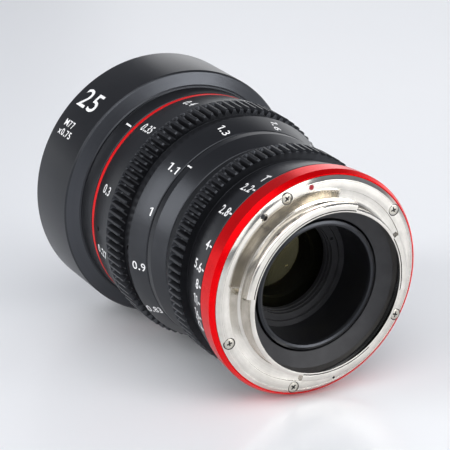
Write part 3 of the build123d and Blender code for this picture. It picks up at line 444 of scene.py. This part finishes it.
def coated_glass(name, tint, film, reflected):
    """Optical glass with a thin coating whose reflections are coloured."""
    material, tree, shader, add = start_material(name)
    place = add("ShaderNodeTexCoord").outputs["Object"]
    cloud = grain(add, place, 60, 2.0)
    colour = ramp(add, cloud, (0.3, tint), (0.8, tuple(0.97 * part for part in tint)))
    tree.links.new(colour, shader.inputs["Base Color"])
    tree.links.new(spread(add, cloud, 0.004, 0.012), shader.inputs["Roughness"])
    shader.inputs["Transmission Weight"].default_value = 1.0
    shader.inputs["IOR"].default_value = glass_index
    shader.inputs["Specular Tint"].default_value = (*reflected, 1.0)
    shader.inputs["Thin Film Thickness"].default_value = film
    shader.inputs["Thin Film IOR"].default_value = film_index
    return material


blue_sheen = (0.85, 0.90, 1.0)
black_anodised = anodised("black_anodised", (0.0035, 0.0035, 0.0042), (0.0075, 0.0075, 0.0084), 0.33, 0.16,
                          sheen=blue_sheen)
red_anodised = anodised("red_anodised", (0.72, 0.0, 0.002), (0.88, 0.0, 0.004), 0.25, 0.08, metallic=0.7,
                        specular=0.12)
red_line = anodised("red_line", (0.62, 0.003, 0.006), (0.80, 0.006, 0.008), 0.34, 0.06, metallic=0.2,
                    specular=0.3)
chrome = bright_metal("mount_metal", (0.54, 0.515, 0.47), (0.80, 0.77, 0.715), 0.15)
steel = bright_metal("steel", (0.44, 0.42, 0.37), (0.64, 0.61, 0.54), 0.22, marks=0.15)
brass = bright_metal("brass", (0.60, 0.42, 0.17), (0.80, 0.60, 0.28), 0.28, marks=0.15)
brushed_black = anodised("brushed_black", (0.004, 0.004, 0.0045), (0.010, 0.010, 0.011), 0.32, 0.3,
                         specular=1.0, sheen=blue_sheen)
black_paint = paint("black_paint", (0.017, 0.017, 0.019), (0.033, 0.033, 0.036), 0.6)
blade_black = paint("blade_black", (0.012, 0.012, 0.013), (0.024, 0.024, 0.026), 0.48)
glide_plastic = paint("glide_plastic", (0.55, 0.54, 0.50), (0.68, 0.67, 0.63), 0.45)
white_fill = paint("white_fill", (0.80, 0.80, 0.80), (0.90, 0.90, 0.90), 0.5, 0.1)
red_paint = paint("red_paint", (0.30, 0.003, 0.012), (0.38, 0.006, 0.02), 0.4, 0.1)
glass = coated_glass("coated_glass", (0.85, 0.87, 0.83), 118.0, (0.8, 0.8, 0.8))
# Inner elements: glass tinted dark olive as painted shade, so that the inside of the lens looks dark
inner_glass = coated_glass("inner_glass", (0.26, 0.25, 0.15), 0.0, (0.44, 0.40, 0.20))


def dress(obj, material, body):
    """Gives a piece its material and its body."""
    obj.data.materials.clear()
    obj.data.materials.append(material)
    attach(obj, body)
    return obj


# Carried-over nodes take the material of their slot

slot_materials = {
    "black_anodised": black_anodised, "red_anodised": red_anodised, "mount_metal": chrome,
    "black_paint": black_paint, "steel": steel, "brass": brass, "glide_plastic": glide_plastic,
    "red_paint": red_paint, "blade_black": blade_black, "coated_glass": glass,
}
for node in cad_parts.values():
    slots = [slot.material.name.split(".")[0] for slot in node.material_slots]
    node.data.materials.clear()
    # Inner lens elements take the dark-tinted glass that paints the shade inside the lens
    inner = node.name.startswith("element_") and node.name != "element_1"
    node.data.materials.append(inner_glass if inner else slot_materials[slots[0]])

# Bayonet mount: flange plate and neck in one piece, with three claws, and seats for its screws

rearward = Vector((0, -1, 0))
forward = Vector((0, 1, 0))
bayonet_bore_radius = 24.2
bayonet_neck_radius = 25.4
lip_chamfer = 0.45
claw_radius = 26.84
claw_length = 1.9
claw_spans = ((-83.6, 17.4), (58.0, 98.0), (142.0, 196.0))
land_inner_radius = 28.9
land_outer_radius = 31.9
land_groove_width = 0.14
land_groove_depth = 0.10
land_step = 0.3
flange_rim_drop = 0.9
neck_root_round = 1.0
screw_circle_radius = 30.94
screw_angles = (-23.2, 51.4, 116.7, 191.8, 246.9)
screw_seat_radius = 1.78
screw_seat_depth = 0.94
lock_hole = (1.15, 1.3, -38.7)
witness_hole = (0.4, 0.6, 166.2)
dot_hole = (0.8, 0.4, -8.3)
groove_setback = 0.35
blend_share = 0.29
plate_round = 0.06
land_groove_radius = land_outer_radius - groove_setback

bayonet_outline = [
    (bayonet_bore_radius, lip_rear),
    (bayonet_neck_radius - lip_chamfer, lip_rear),
    (bayonet_neck_radius, lip_rear + lip_chamfer),
    (bayonet_neck_radius, land_step - neck_root_round),
    (bayonet_neck_radius + blend_share * neck_root_round, land_step - blend_share * neck_root_round),
    (bayonet_neck_radius + neck_root_round, land_step),
    (land_inner_radius - 0.02, land_step),
    (land_inner_radius, 0.0),
    (land_groove_radius, 0.0),
    (land_groove_radius, land_groove_depth),
    (land_groove_radius + land_groove_width, land_groove_depth),
    (land_groove_radius + land_groove_width, 0.0),
    (land_outer_radius, 0.0),
    (flange_radius, flange_rim_drop),
    (flange_radius, flange_front),
    (bayonet_bore_radius, flange_front),
]
bayonet = turned("bayonet_plate", bayonet_outline, plate_round)
holes = [(screw_seat_radius, screw_seat_depth, angle) for angle in screw_angles]
seats = []
for radius, depth, angle in holes + [lock_hole, witness_hole, dot_hole]:
    seats.append(rod(radius, 1.0 + depth, point(screw_circle_radius, -1.0, angle) / MM, forward))
cut_away(bayonet, seats)
claw_root_radius = bayonet_neck_radius - 2 * lip_chamfer
claws = []
for start, end in claw_spans:
    claws.append(arc_piece("claw", [
        (claw_root_radius, lip_rear),
        (claw_radius - lip_chamfer, lip_rear),
        (claw_radius, lip_rear + lip_chamfer),
        (claw_radius, lip_rear + claw_length),
        (claw_root_radius, lip_rear + claw_length),
    ], start, end))
claws = joined("bayonet_claws", claws)
shade(claws.data)
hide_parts("bayonet_mount")
dress(bayonet, chrome, "barrel")
dress(claws, chrome, "barrel")

# Mount screws with cross recesses

screw_head_radius = 1.6
screw_head_length = 0.86
screw_shank_radius = 1.0
screw_length = 3.0
screw_head_top = 0.04
recess_turn = 12
recess_turn_step = 31
recess_depth = 0.6
recess_reach = 1.0
recess_width = 0.42
# Depth and size of the dark pieces that paint shade into the cross recesses
shade_piece_depth = 0.42
shade_piece_share = 0.98


def cross_cutter(middle, turn, share=1.0):
    """Two crossed wedges that taper towards the bottom of a recess."""
    wedges = []
    for quarter in (0, 90):
        place = Matrix.Rotation(radians(turn + quarter), 4, "Y")
        vertices = []
        for depth, half_reach, half_width in (
            (-0.3, recess_reach * 1.15 * share, recess_width * 0.62 * share),
            (recess_depth, recess_reach * 0.42, recess_width * 0.36),
        ):
            for side, across in ((-1, -1), (1, -1), (1, 1), (-1, 1)):
                corner = place @ Vector((side * half_reach, depth, across * half_width))
                vertices.append((middle + corner) * MM)
        faces = [(0, 1, 2, 3), (7, 6, 5, 4), (0, 4, 5, 1), (1, 5, 6, 2), (2, 6, 7, 3), (3, 7, 4, 0)]
        wedges.append(add_mesh("wedge", vertices, faces))
    return wedges


def cross_screw(index, angle):
    """Countersunk head with a cross recess, its top just under the flange's face."""
    middle = point(screw_circle_radius, screw_head_top, angle) / MM
    head = stud("mount_screw_" + str(index), (
        (screw_head_radius - 0.28, 0.0), (screw_head_radius - 0.08, 0.07), (screw_head_radius, 0.22),
        (screw_head_radius, screw_head_length - 0.01), (screw_shank_radius, screw_head_length),
        (screw_shank_radius, screw_length),
    ), middle, forward)
    for wedge in cross_cutter(middle, recess_turn_step * index + recess_turn):
        cut_away(head, [wedge])
    return dress(head, steel, "barrel")


def painted_recess_shade(index, angle):
    """Painted shade: dark pieces at the bottom of a cross recess and in the gap round a head, where shade
    falls.
    """
    middle = point(screw_circle_radius, screw_head_top, angle) / MM
    pieces = cross_cutter(middle + forward * shade_piece_depth, recess_turn_step * index + recess_turn, shade_piece_share)
    inner, outer = screw_head_radius - 0.01, screw_seat_radius + 0.03
    gap = stud("gap", ((inner, 0.22), (outer, 0.22), (outer, 0.5), (inner, 0.5)), middle, forward)
    return pieces + [gap]


mount_screws = [cross_screw(index, angle) for index, angle in enumerate(screw_angles, start=1)]
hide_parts("mount_screws")
# Black-paint pieces as painted shade in the cross recesses, in the gaps round the heads and at the floors
# of the lock and witness holes
painted_shade_pieces = []
for index, angle in enumerate(screw_angles, start=1):
    painted_shade_pieces += painted_recess_shade(index, angle)
# Painted shade: dark discs at the floors of the lock and witness holes
for radius, depth, angle in ((0.6 * lock_hole[0], *lock_hole[1:]), witness_hole):
    at = point(screw_circle_radius, 0.55 * depth, angle) / MM
    painted_shade_pieces.append(stud("floor", ((radius, 0), (radius, 0.3)), at, forward))
dress(joined("screw_recess_films", painted_shade_pieces), black_paint, "barrel")

# Front barrel with its neck, shoulder and screw thread

neck_front = neck_rear + 6.3
shoulder_front = neck_front + 2.1
neck_radius = 35.1
neck_foot_step = 0.8
rim_chamfer = 0.45
thread_core_radius = 38.094
thread_pitch = 0.75
thread_depth = 0.4
thread_root_radius = thread_core_radius + thread_depth
thread_points_per_turn = 180
thread_run_in = 20
thread_front = barrel_end - 0.5
thread_rear = bezel_front
cavity_radius = bezel_radius
barrel_floor_front = shoulder_front + 3.0
inner_barrel_radius = 28.6

front_outline = [
    (inner_barrel_radius, neck_rear),
    (neck_radius - edge_break, neck_rear),
    (neck_radius, neck_rear + edge_break),
    (neck_radius, neck_front - 0.35),
    (neck_radius + 0.5, neck_front - 0.3),
    (neck_radius + neck_foot_step, neck_front + 0.1),
    (front_radius - rim_chamfer, shoulder_front - 0.55),
    (front_radius, shoulder_front),
    (front_radius, barrel_end - rim_chamfer),
    (front_radius - rim_chamfer, barrel_end),
    (thread_root_radius + 0.25, barrel_end),
    (thread_root_radius, thread_front),
    (thread_root_radius, thread_rear),
    (cavity_radius, thread_rear),
    (cavity_radius, barrel_floor_front),
    (inner_barrel_radius, barrel_floor_front),
]
front_barrel = turned("front_barrel_shell", front_outline)
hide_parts("front_barrel")
dress(front_barrel, black_anodised, "barrel")
front_barrel.data.materials.append(brushed_black)
for face in front_barrel.data.polygons:
    station = face.center.y / MM
    if neck_front + 0.1 < station < shoulder_front - 0.3 and face.normal.y < -0.5:
        face.material_index = 1


def filter_thread():
    """One ridge that winds round the inside of the front opening."""
    crest = thread_pitch / 8
    root = thread_pitch * 0.42
    outer = thread_root_radius + 0.05
    profile = ((outer, -root), (thread_core_radius, -crest), (thread_core_radius, crest), (outer, root))
    first = thread_rear + thread_pitch * 0.6
    turns = (thread_front - thread_pitch * 0.6 - first) / thread_pitch
    count = round(turns * thread_points_per_turn)
    vertices = []
    for index in range(count + 1):
        angle = 360 * turns * index / count
        station = first + thread_pitch * turns * index / count
        grown = min(1.0, index / thread_run_in, (count - index) / thread_run_in)
        for radius, along in profile:
            reached = outer + (radius - outer) * grown
            vertices.append(point(reached, station + along * max(grown, 0.05), angle))
    faces = [(0, 1, 2, 3), tuple(4 * count + corner for corner in (3, 2, 1, 0))]
    for index in range(count):
        for corner in range(4):
            after = (corner + 1) % 4
            low = 4 * index
            faces.append((low + corner, low + after, low + 4 + after, low + 4 + corner))
    return add_mesh("filter_thread", vertices, faces)


dress(filter_thread(), black_anodised, "barrel")

# Front bezel, its steps finer than a plain cone

bezel_hole_radius = 25.65
bezel_mouth_radius = cavity_radius - 1.7
bezel_steps = 8
bezel_wall = 1.4
bezel_outline = []
for step in range(bezel_steps):
    share = step / bezel_steps
    radius = bezel_mouth_radius + (bezel_hole_radius - bezel_mouth_radius) * share
    station = bezel_front + (bezel_rear + bezel_wall - bezel_front) * share
    drop = (bezel_front - bezel_rear - bezel_wall) / bezel_steps
    bezel_outline.append((radius, station))
    bezel_outline.append((radius, station - drop))
bezel_outline += [
    (bezel_hole_radius, bezel_rear),
    (bezel_hole_radius + bezel_wall, bezel_rear),
    (cavity_radius, bezel_front - 2 * bezel_wall),
    (cavity_radius, bezel_front),
]
front_bezel = turned("front_bezel_steps", bezel_outline)
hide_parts("front_bezel")
dress(front_bezel, black_paint, "barrel")

# Focus ring

sleeve_radius = 31.0
foot_rear_radius = 33.1
foot_front_radius = 35.45
foot_length = 6.7
groove_radius = 34.4
groove_length = 4.1
focus_teeth = 90
focus_gear_width = 7.4
focus_gear_rear = focus_rear + foot_length + groove_length
focus_gear_front = focus_gear_rear + focus_gear_width
red_line_rear = focus_front - 1.5
red_line_radius = neck_radius
red_seat_radius = red_line_radius - 1.2

focus_ring = geared("focus_ring_shell", [
    (sleeve_radius, focus_rear),
    (foot_rear_radius - edge_break, focus_rear),
    (foot_rear_radius, focus_rear + edge_break),
    (foot_front_radius, focus_rear + foot_length),
    (groove_radius, focus_rear + foot_length),
    (groove_radius, focus_gear_rear),
    (focus_tip_radius - gear_edge_break, focus_gear_rear),
    (focus_tip_radius, focus_gear_rear + gear_edge_break),
    (focus_tip_radius, focus_gear_front),
    (red_line_radius, red_line_rear),
    (red_seat_radius, red_line_rear),
    (red_seat_radius, focus_front),
    (sleeve_radius, focus_front),
], focus_teeth, focus_tip_radius, focus_gear_rear, focus_gear_front)
set_screw_angles = (-91.6, 28.4, 148.4)
set_screw_stations = (focus_gear_rear - 2.05, focus_gear_front + 7.3)
set_screw_surfaces = (groove_radius, 35.75)
set_screw_radius = 0.75
set_screw_length = 1.25
set_screw_top = 0.55
set_screw_seat_depth = 2.2
set_screw_seat_length = 3.5
hex_radius = 0.42
hex_depth = 0.95
seats = []
set_screws = []
for angle in set_screw_angles:
    outward = point(1, 0, angle) / MM
    for station, surface in zip(set_screw_stations, set_screw_surfaces):
        foot = forward * station
        seat_floor = outward * (surface - set_screw_seat_depth) + foot
        seats.append(rod(set_screw_radius + 0.06, set_screw_seat_length, seat_floor, outward))
        hex_floor = outward * (surface - hex_depth) + foot
        hollow = stud("hollow", ((hex_radius, 0), (hex_radius, 1.0)), hex_floor, outward, 6)
        plug = stud("plug", (
            (set_screw_radius, 0), (set_screw_radius, set_screw_length - 0.15),
            (set_screw_radius - 0.15, set_screw_length),
        ), outward * (surface - set_screw_top - set_screw_length) + foot, outward, 32)
        set_screws.append(cut_away(plug, [hollow]))
cut_away(focus_ring, seats)
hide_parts("focus_ring")
dress(focus_ring, black_anodised, "focus")
set_screws = joined("focus_set_plugs", set_screws)
shade(set_screws.data)
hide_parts("focus_set_screws")
dress(set_screws, steel, "focus")

accent_ring = turned("focus_accent_line", [
    (red_seat_radius, red_line_rear),
    (red_line_radius, red_line_rear),
    (red_line_radius, focus_front - edge_break),
    (red_line_radius - edge_break, focus_front),
    (red_seat_radius, focus_front),
])
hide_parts("focus_accent_ring")
dress(accent_ring, red_line, "focus")

# Mid barrel

mid_rear_radius = 31.1
index_band_length = 2.5

mid_barrel = turned("mid_barrel_shell", [
    (inner_barrel_radius, mid_rear),
    (mid_rear_radius - edge_break, mid_rear),
    (mid_rear_radius, mid_rear + edge_break),
    (mid_radius, mid_front - index_band_length),
    (mid_radius, mid_front - edge_break),
    (mid_radius - edge_break, mid_front),
    (inner_barrel_radius, mid_front),
])
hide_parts("mid_barrel")
dress(mid_barrel, black_anodised, "barrel")

# Aperture ring

scale_rear_radius = 33.8
scale_front_radius = 31.0
scale_length = 11.6
scale_edge = 0.3
iris_teeth = 81
iris_gear_rear = aperture_rear + 12.5
iris_gear_front = iris_gear_rear + 6.2
aperture_front_radius = 31.2

aperture_ring = geared("aperture_ring_shell", [
    (ring_bore_radius, aperture_rear),
    (scale_rear_radius - edge_break, aperture_rear),
    (scale_rear_radius, aperture_rear + edge_break),
    (scale_front_radius + scale_edge, aperture_rear + scale_length - scale_edge),
    (scale_front_radius, aperture_rear + scale_length),
    (scale_front_radius, iris_gear_rear),
    (iris_tip_radius - gear_edge_break, iris_gear_rear),
    (iris_tip_radius, iris_gear_rear + gear_edge_break),
    (iris_tip_radius, iris_gear_front),
    (aperture_front_radius, aperture_front - edge_break),
    (aperture_front_radius - edge_break, aperture_front),
    (ring_bore_radius, aperture_front),
], iris_teeth, iris_tip_radius, iris_gear_rear, iris_gear_front)
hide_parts("aperture_ring")
dress(aperture_ring, black_anodised, "aperture")

# Figures and index marks, wrapped onto the rings that carry them

shown = bpy.context.evaluated_depsgraph_get()
carriers = {}
for ring in (front_barrel, focus_ring, mid_barrel, aperture_ring):
    carriers[ring.name] = BVHTree.FromObject(ring, shown)
fill_height = 0.03
fill_depth = 0.06
longest_edge = 0.45
beyond_all = 60


def surface_radius(ring, station, angle):
    """Radius of a ring's outside at a station and an angle."""
    start = point(beyond_all, station, angle)
    inward = -(start - Vector((0, start.y, 0))).normalized()
    hit = carriers[ring.name].ray_cast(start, inward)[0]
    return hypot(hit.x, hit.z) / MM


def wrapped(name, flat, ring, body, station, angle):
    """Puts a flat figure on a ring. It reads towards the rear, with its top towards growing angles."""
    shape = bmesh.new()
    shape.from_mesh(flat)
    bmesh.ops.triangulate(shape, faces=shape.faces)
    long_edges = [edge for edge in shape.edges if edge.calc_length() > longest_edge * MM]
    bmesh.ops.subdivide_edges(shape, edges=long_edges, cuts=2, use_grid_fill=True)
    bmesh.ops.triangulate(shape, faces=shape.faces)
    middle = surface_radius(ring, station, angle)
    for vertex in shape.verts:
        along = station - vertex.co.x / MM
        turn = angle + degrees(vertex.co.y / MM / middle)
        vertex.co = point(surface_radius(ring, along, turn) + fill_height, along, turn)
    solid = bmesh.ops.extrude_face_region(shape, geom=shape.faces[:])
    for item in solid["geom"]:
        if isinstance(item, bmesh.types.BMVert):
            flat_place = Vector((item.co.x, 0, item.co.z))
            item.co -= flat_place.normalized() * fill_depth * MM
    bmesh.ops.recalc_face_normals(shape, faces=shape.faces)
    mesh = bpy.data.meshes.new(name)
    shape.to_mesh(mesh)
    shape.free()
    obj = bpy.data.objects.new(name, mesh)
    scene.collection.objects.link(obj)
    return dress(obj, white_fill, body)


own_figure_height = 0.69
figure_gap = 0.13
dot_growth = 1.25


def one_glyph(weight):
    """Outline of a one with a flag, in parts of the letter size."""
    stem = 0.10 + 2 * weight
    left, flag_foot = 0.15, 0.585
    corners = [
        (left, 0.0), (left + stem, 0.0), (left + stem, own_figure_height), (left + 0.02, own_figure_height),
        (0.0, flag_foot), (0.0, flag_foot - 0.8 * stem), (left, own_figure_height - 0.8 * stem),
    ]
    return corners, [tuple(range(len(corners)))]


def far_glyph(weight):
    """Ribbon of a lying eight, for the infinity mark."""
    half = 0.045 + weight
    reach_across, reach_up = 0.38, 0.19
    steps = 48
    corners = []
    for step in range(steps):
        turn = 2 * pi * step / steps
        here = Vector((0.42 + reach_across * sin(turn), 0.34 + reach_up * sin(2 * turn), 0))
        ahead = Vector((reach_across * cos(turn), 2 * reach_up * cos(2 * turn), 0)).normalized()
        side = Vector((-ahead.y, ahead.x, 0)) * half
        corners += [tuple(here + side)[:2], tuple(here - side)[:2]]
    faces = []
    for step in range(steps):
        after = (step + 1) % steps
        faces.append((2 * step, 2 * after, 2 * after + 1, 2 * step + 1))
    return corners, faces


def font_glyph(letter, weight):
    """Flat mesh of one letter of the built-in typeface."""
    curve = bpy.data.curves.new("letter", "FONT")
    curve.body = letter
    curve.offset = weight
    curve.resolution_u = 5
    flat_text = bpy.data.objects.new("letter", curve)
    scene.collection.objects.link(flat_text)
    drawn = flat_text.evaluated_get(bpy.context.evaluated_depsgraph_get())
    mesh = bpy.data.meshes.new_from_object(drawn)
    bpy.data.objects.remove(flat_text)
    corners = [tuple(vertex.co)[:2] for vertex in mesh.vertices]
    return corners, [tuple(face.vertices) for face in mesh.polygons]


own_glyphs = {"1": one_glyph, "\u221e": far_glyph}


def figure(name, text, ring, body, station, angle, height=3.1, stretch=0.95, weight=0.026, lean=0.0):
    """Figures of a scale, centred at a station and an angle."""
    vertices = []
    faces = []
    pen = 0.0
    for letter in text:
        drawn = own_glyphs[letter](weight) if letter in own_glyphs else font_glyph(letter, weight)
        first = min(corner[0] for corner in drawn[0])
        growth = dot_growth if letter == "." else 1.0
        start = len(vertices)
        for across, up in drawn[0]:
            vertices.append((pen + (across - first) * growth, up * growth))
        faces += [tuple(start + corner for corner in face) for face in drawn[1]]
        pen = max(vertex[0] for vertex in vertices) + figure_gap
    ys = [vertex[1] for vertex in vertices]
    middle = ((pen - figure_gap) / 2, (min(ys) + max(ys)) / 2)
    tall = height / (max(ys) - min(ys)) * MM
    flat = []
    for across, up in vertices:
        along = (across - middle[0] + lean * (up - middle[1])) * tall * stretch
        flat.append((along, (up - middle[1]) * tall, 0))
    mesh = bpy.data.meshes.new(name)
    mesh.from_pydata(flat, [], faces)
    return wrapped(name, mesh, ring, body, station, angle)


def tick(name, ring, body, station, angle, length, width):
    """Index mark along the axis."""
    mesh = bpy.data.meshes.new(name)
    half = length / 2 * MM
    side = width / 2 * MM
    steps = max(2, round(length / 0.4))
    vertices = []
    for step in range(steps + 1):
        along = -half + 2 * half * step / steps
        vertices.append((along, -side, 0))
        vertices.append((along, side, 0))
    faces = [(2 * k, 2 * k + 2, 2 * k + 3, 2 * k + 1) for k in range(steps)]
    mesh.from_pydata(vertices, [], faces)
    return wrapped(name, mesh, ring, body, station, angle)


index_angle = -38.6
stop_height = 2.9
metre_height = 2.9
metre_station = 64.5
foot_height = 2.6
far_height = 1.7
stop_marks = (
    ("2.2", -31.3), ("2.8", -47.1), ("4", -65.3), ("5.6", -77.3), ("8", -85.8), ("11", -94.3),
    ("16", -102.4), ("22", -108.4),
)
for text, angle in stop_marks:
    label = "stop_" + text.replace(".", "_")
    tick(label + "_tick", aperture_ring, "aperture", aperture_rear + 1.0, angle, 1.5, 0.5)
    station = aperture_rear + 2.5 + 0.85 * len(text)
    figure(label, text, aperture_ring, "aperture", station, angle, stop_height, 1.08, 0.012)
figure("stop_letter", "T", aperture_ring, "aperture", aperture_rear + 3.0, -22.3)

metre_marks = (
    ("0.27", -102.6), ("0.3", -70.8), ("0.35", -35.4), ("0.4", -10.6), ("0.5", 21.5), ("0.7", 44.5),
    ("1", 60.0), ("2", 75.5), ("\u221e", 89.0),
)
for text, angle in metre_marks:
    label = "metre_" + text.replace(".", "_").replace("\u221e", "far")
    height = far_height if "far" in label else metre_height
    figure(label, text, focus_ring, "focus", metre_station, angle, height, lean=0.15, weight=0.008)
foot_marks = (
    ("0.83", -125.5, 44.3), ("0.9", -98.1, 43.9), ("1", -68.1, 42.5), ("1.1", -44.1, 43.4),
    ("1.3", -11.6, 44.0), ("1.6", 19.0, 44.0), ("2", 46.0, 43.6), ("3", 60.0, 43.6), ("6", 75.0, 43.6),
    ("\u221e", 89.0, 43.9),
)
for text, angle, station in foot_marks:
    label = "foot_" + text.replace(".", "_").replace("\u221e", "far")
    height = far_height if "far" in label else foot_height
    figure(label, text, focus_ring, "focus", station, angle, height, 0.86 if len(text) > 3 else 1.0, 0.006)
tick("neck_index", front_barrel, "barrel", neck_rear + 2.1, index_angle, 3.0, 0.55)
tick("mid_index", mid_barrel, "barrel", mid_front - 1.3, index_angle, 2.3, 0.55)
figure("focal_length", "25", front_barrel, "barrel", 91.7, -40.5, height=6.9, stretch=1.08, weight=0.006)
for name, text, angle in (("filter_thread_size", "M77", -54.3), ("filter_thread_pitch", "x0.75", -58.8)):
    figure(name, text, front_barrel, "barrel", 92.9, angle, height=2.3, weight=0.01)

# Floor, light and camera

floor_slope = (front_radius - base_radius) / (shoulder_front - base_rear)
floor_normal = Vector((0, floor_slope, 1)).normalized()
floor_contact = Vector((0, shoulder_front, 0)) - front_radius * floor_normal
floor_size = 6.0
lens_middle = Vector((0, 0.045, 0))


def add_floor():
    """Pale seamless floor that the lens lies on."""
    turn = floor_normal.to_track_quat("Z", "Y").to_matrix().to_4x4()
    place = Matrix.Translation(floor_contact * MM) @ turn
    half = floor_size / 2
    sides = ((-half, -half), (half, -half), (half, half), (-half, half))
    corners = [place @ Vector((across, along, 0)) for across, along in sides]
    floor = add_mesh("floor", corners, [(0, 1, 2, 3)])
    material, tree, shader, add = start_material("floor")
    place = add("ShaderNodeTexCoord").outputs["Object"]
    colour = ramp(add, grain(add, place, 3.0), (0.3, (0.81, 0.825, 0.85)), (0.7, (0.85, 0.86, 0.88)))
    tree.links.new(colour, shader.inputs["Base Color"])
    shader.inputs["Roughness"].default_value = 0.35
    floor.data.materials.append(material)


def add_light(name, at, size, power):
    """Soft rectangular light at a place in metres, turned to the lens."""
    lamp = bpy.data.lights.new(name, "AREA")
    lamp.shape = "RECTANGLE"
    lamp.size, lamp.size_y = size
    lamp.energy = power
    obj = bpy.data.objects.new(name, lamp)
    scene.collection.objects.link(obj)
    place = Vector(at)
    obj.location = place
    obj.rotation_euler = (lens_middle - place).to_track_quat("-Z", "Y").to_euler()


def add_world():
    """Pale surroundings below the horizon, with a dimmer studio above it."""
    world = bpy.data.worlds.new("surroundings")
    world.use_nodes = True
    tree = world.node_tree
    background = tree.nodes["Background"]
    place = tree.nodes.new("ShaderNodeTexCoord")
    parts = tree.nodes.new("ShaderNodeSeparateXYZ")
    line = tree.nodes.new("ShaderNodeValToRGB")
    tree.links.new(place.outputs["Generated"], parts.inputs["Vector"])
    tree.links.new(parts.outputs["Z"], line.inputs["Fac"])
    tree.links.new(line.outputs["Color"], background.inputs["Color"])
    line.color_ramp.elements[0].position = 0.0
    line.color_ramp.elements[0].color = (0.96, 0.98, 1.0, 1.0)
    line.color_ramp.elements[1].position = 0.16
    line.color_ramp.elements[1].color = (0.26, 0.27, 0.30, 1.0)
    background.inputs["Strength"].default_value = 1.0
    scene.world = world


camera_right = Vector((0.8621, -0.5049, 0.0427))
camera_up = Vector((0.1541, 0.3412, 0.9273))
camera_back = -Vector((0.4828, 0.7928, -0.3719))
camera_place = Vector((-0.2923, -0.4278, 0.2247))


def add_camera():
    """Camera at the photograph's viewing angle."""
    lens = bpy.data.cameras.new("camera")
    lens.lens = 160.0
    lens.sensor_width = 36.0
    lens.clip_start = 0.01
    camera = bpy.data.objects.new("camera", lens)
    scene.collection.objects.link(camera)
    turn = Matrix((camera_right, camera_up, camera_back)).transposed()
    camera.matrix_world = Matrix.Translation(camera_place) @ turn.to_4x4()
    scene.camera = camera


add_floor()
add_world()
add_light("window_light", (1.75, 1.60, 0.72), (2.1, 1.6), 10.5)
add_light("left_light", (-1.0, 0.30, 0.48), (0.45, 0.86), 6.0)
add_light("upper_light", (-0.2, -0.95, 1.85), (2.0, 1.3), 20.0)
add_light("key_light", (0.66, -1.02, 0.36), (0.66, 0.42), 7.0)
add_light("fill_light", (-1.2, -0.78, 1.15), (1.5, 1.5), 10.0)
add_camera()
scene.view_settings.view_transform = "Standard"
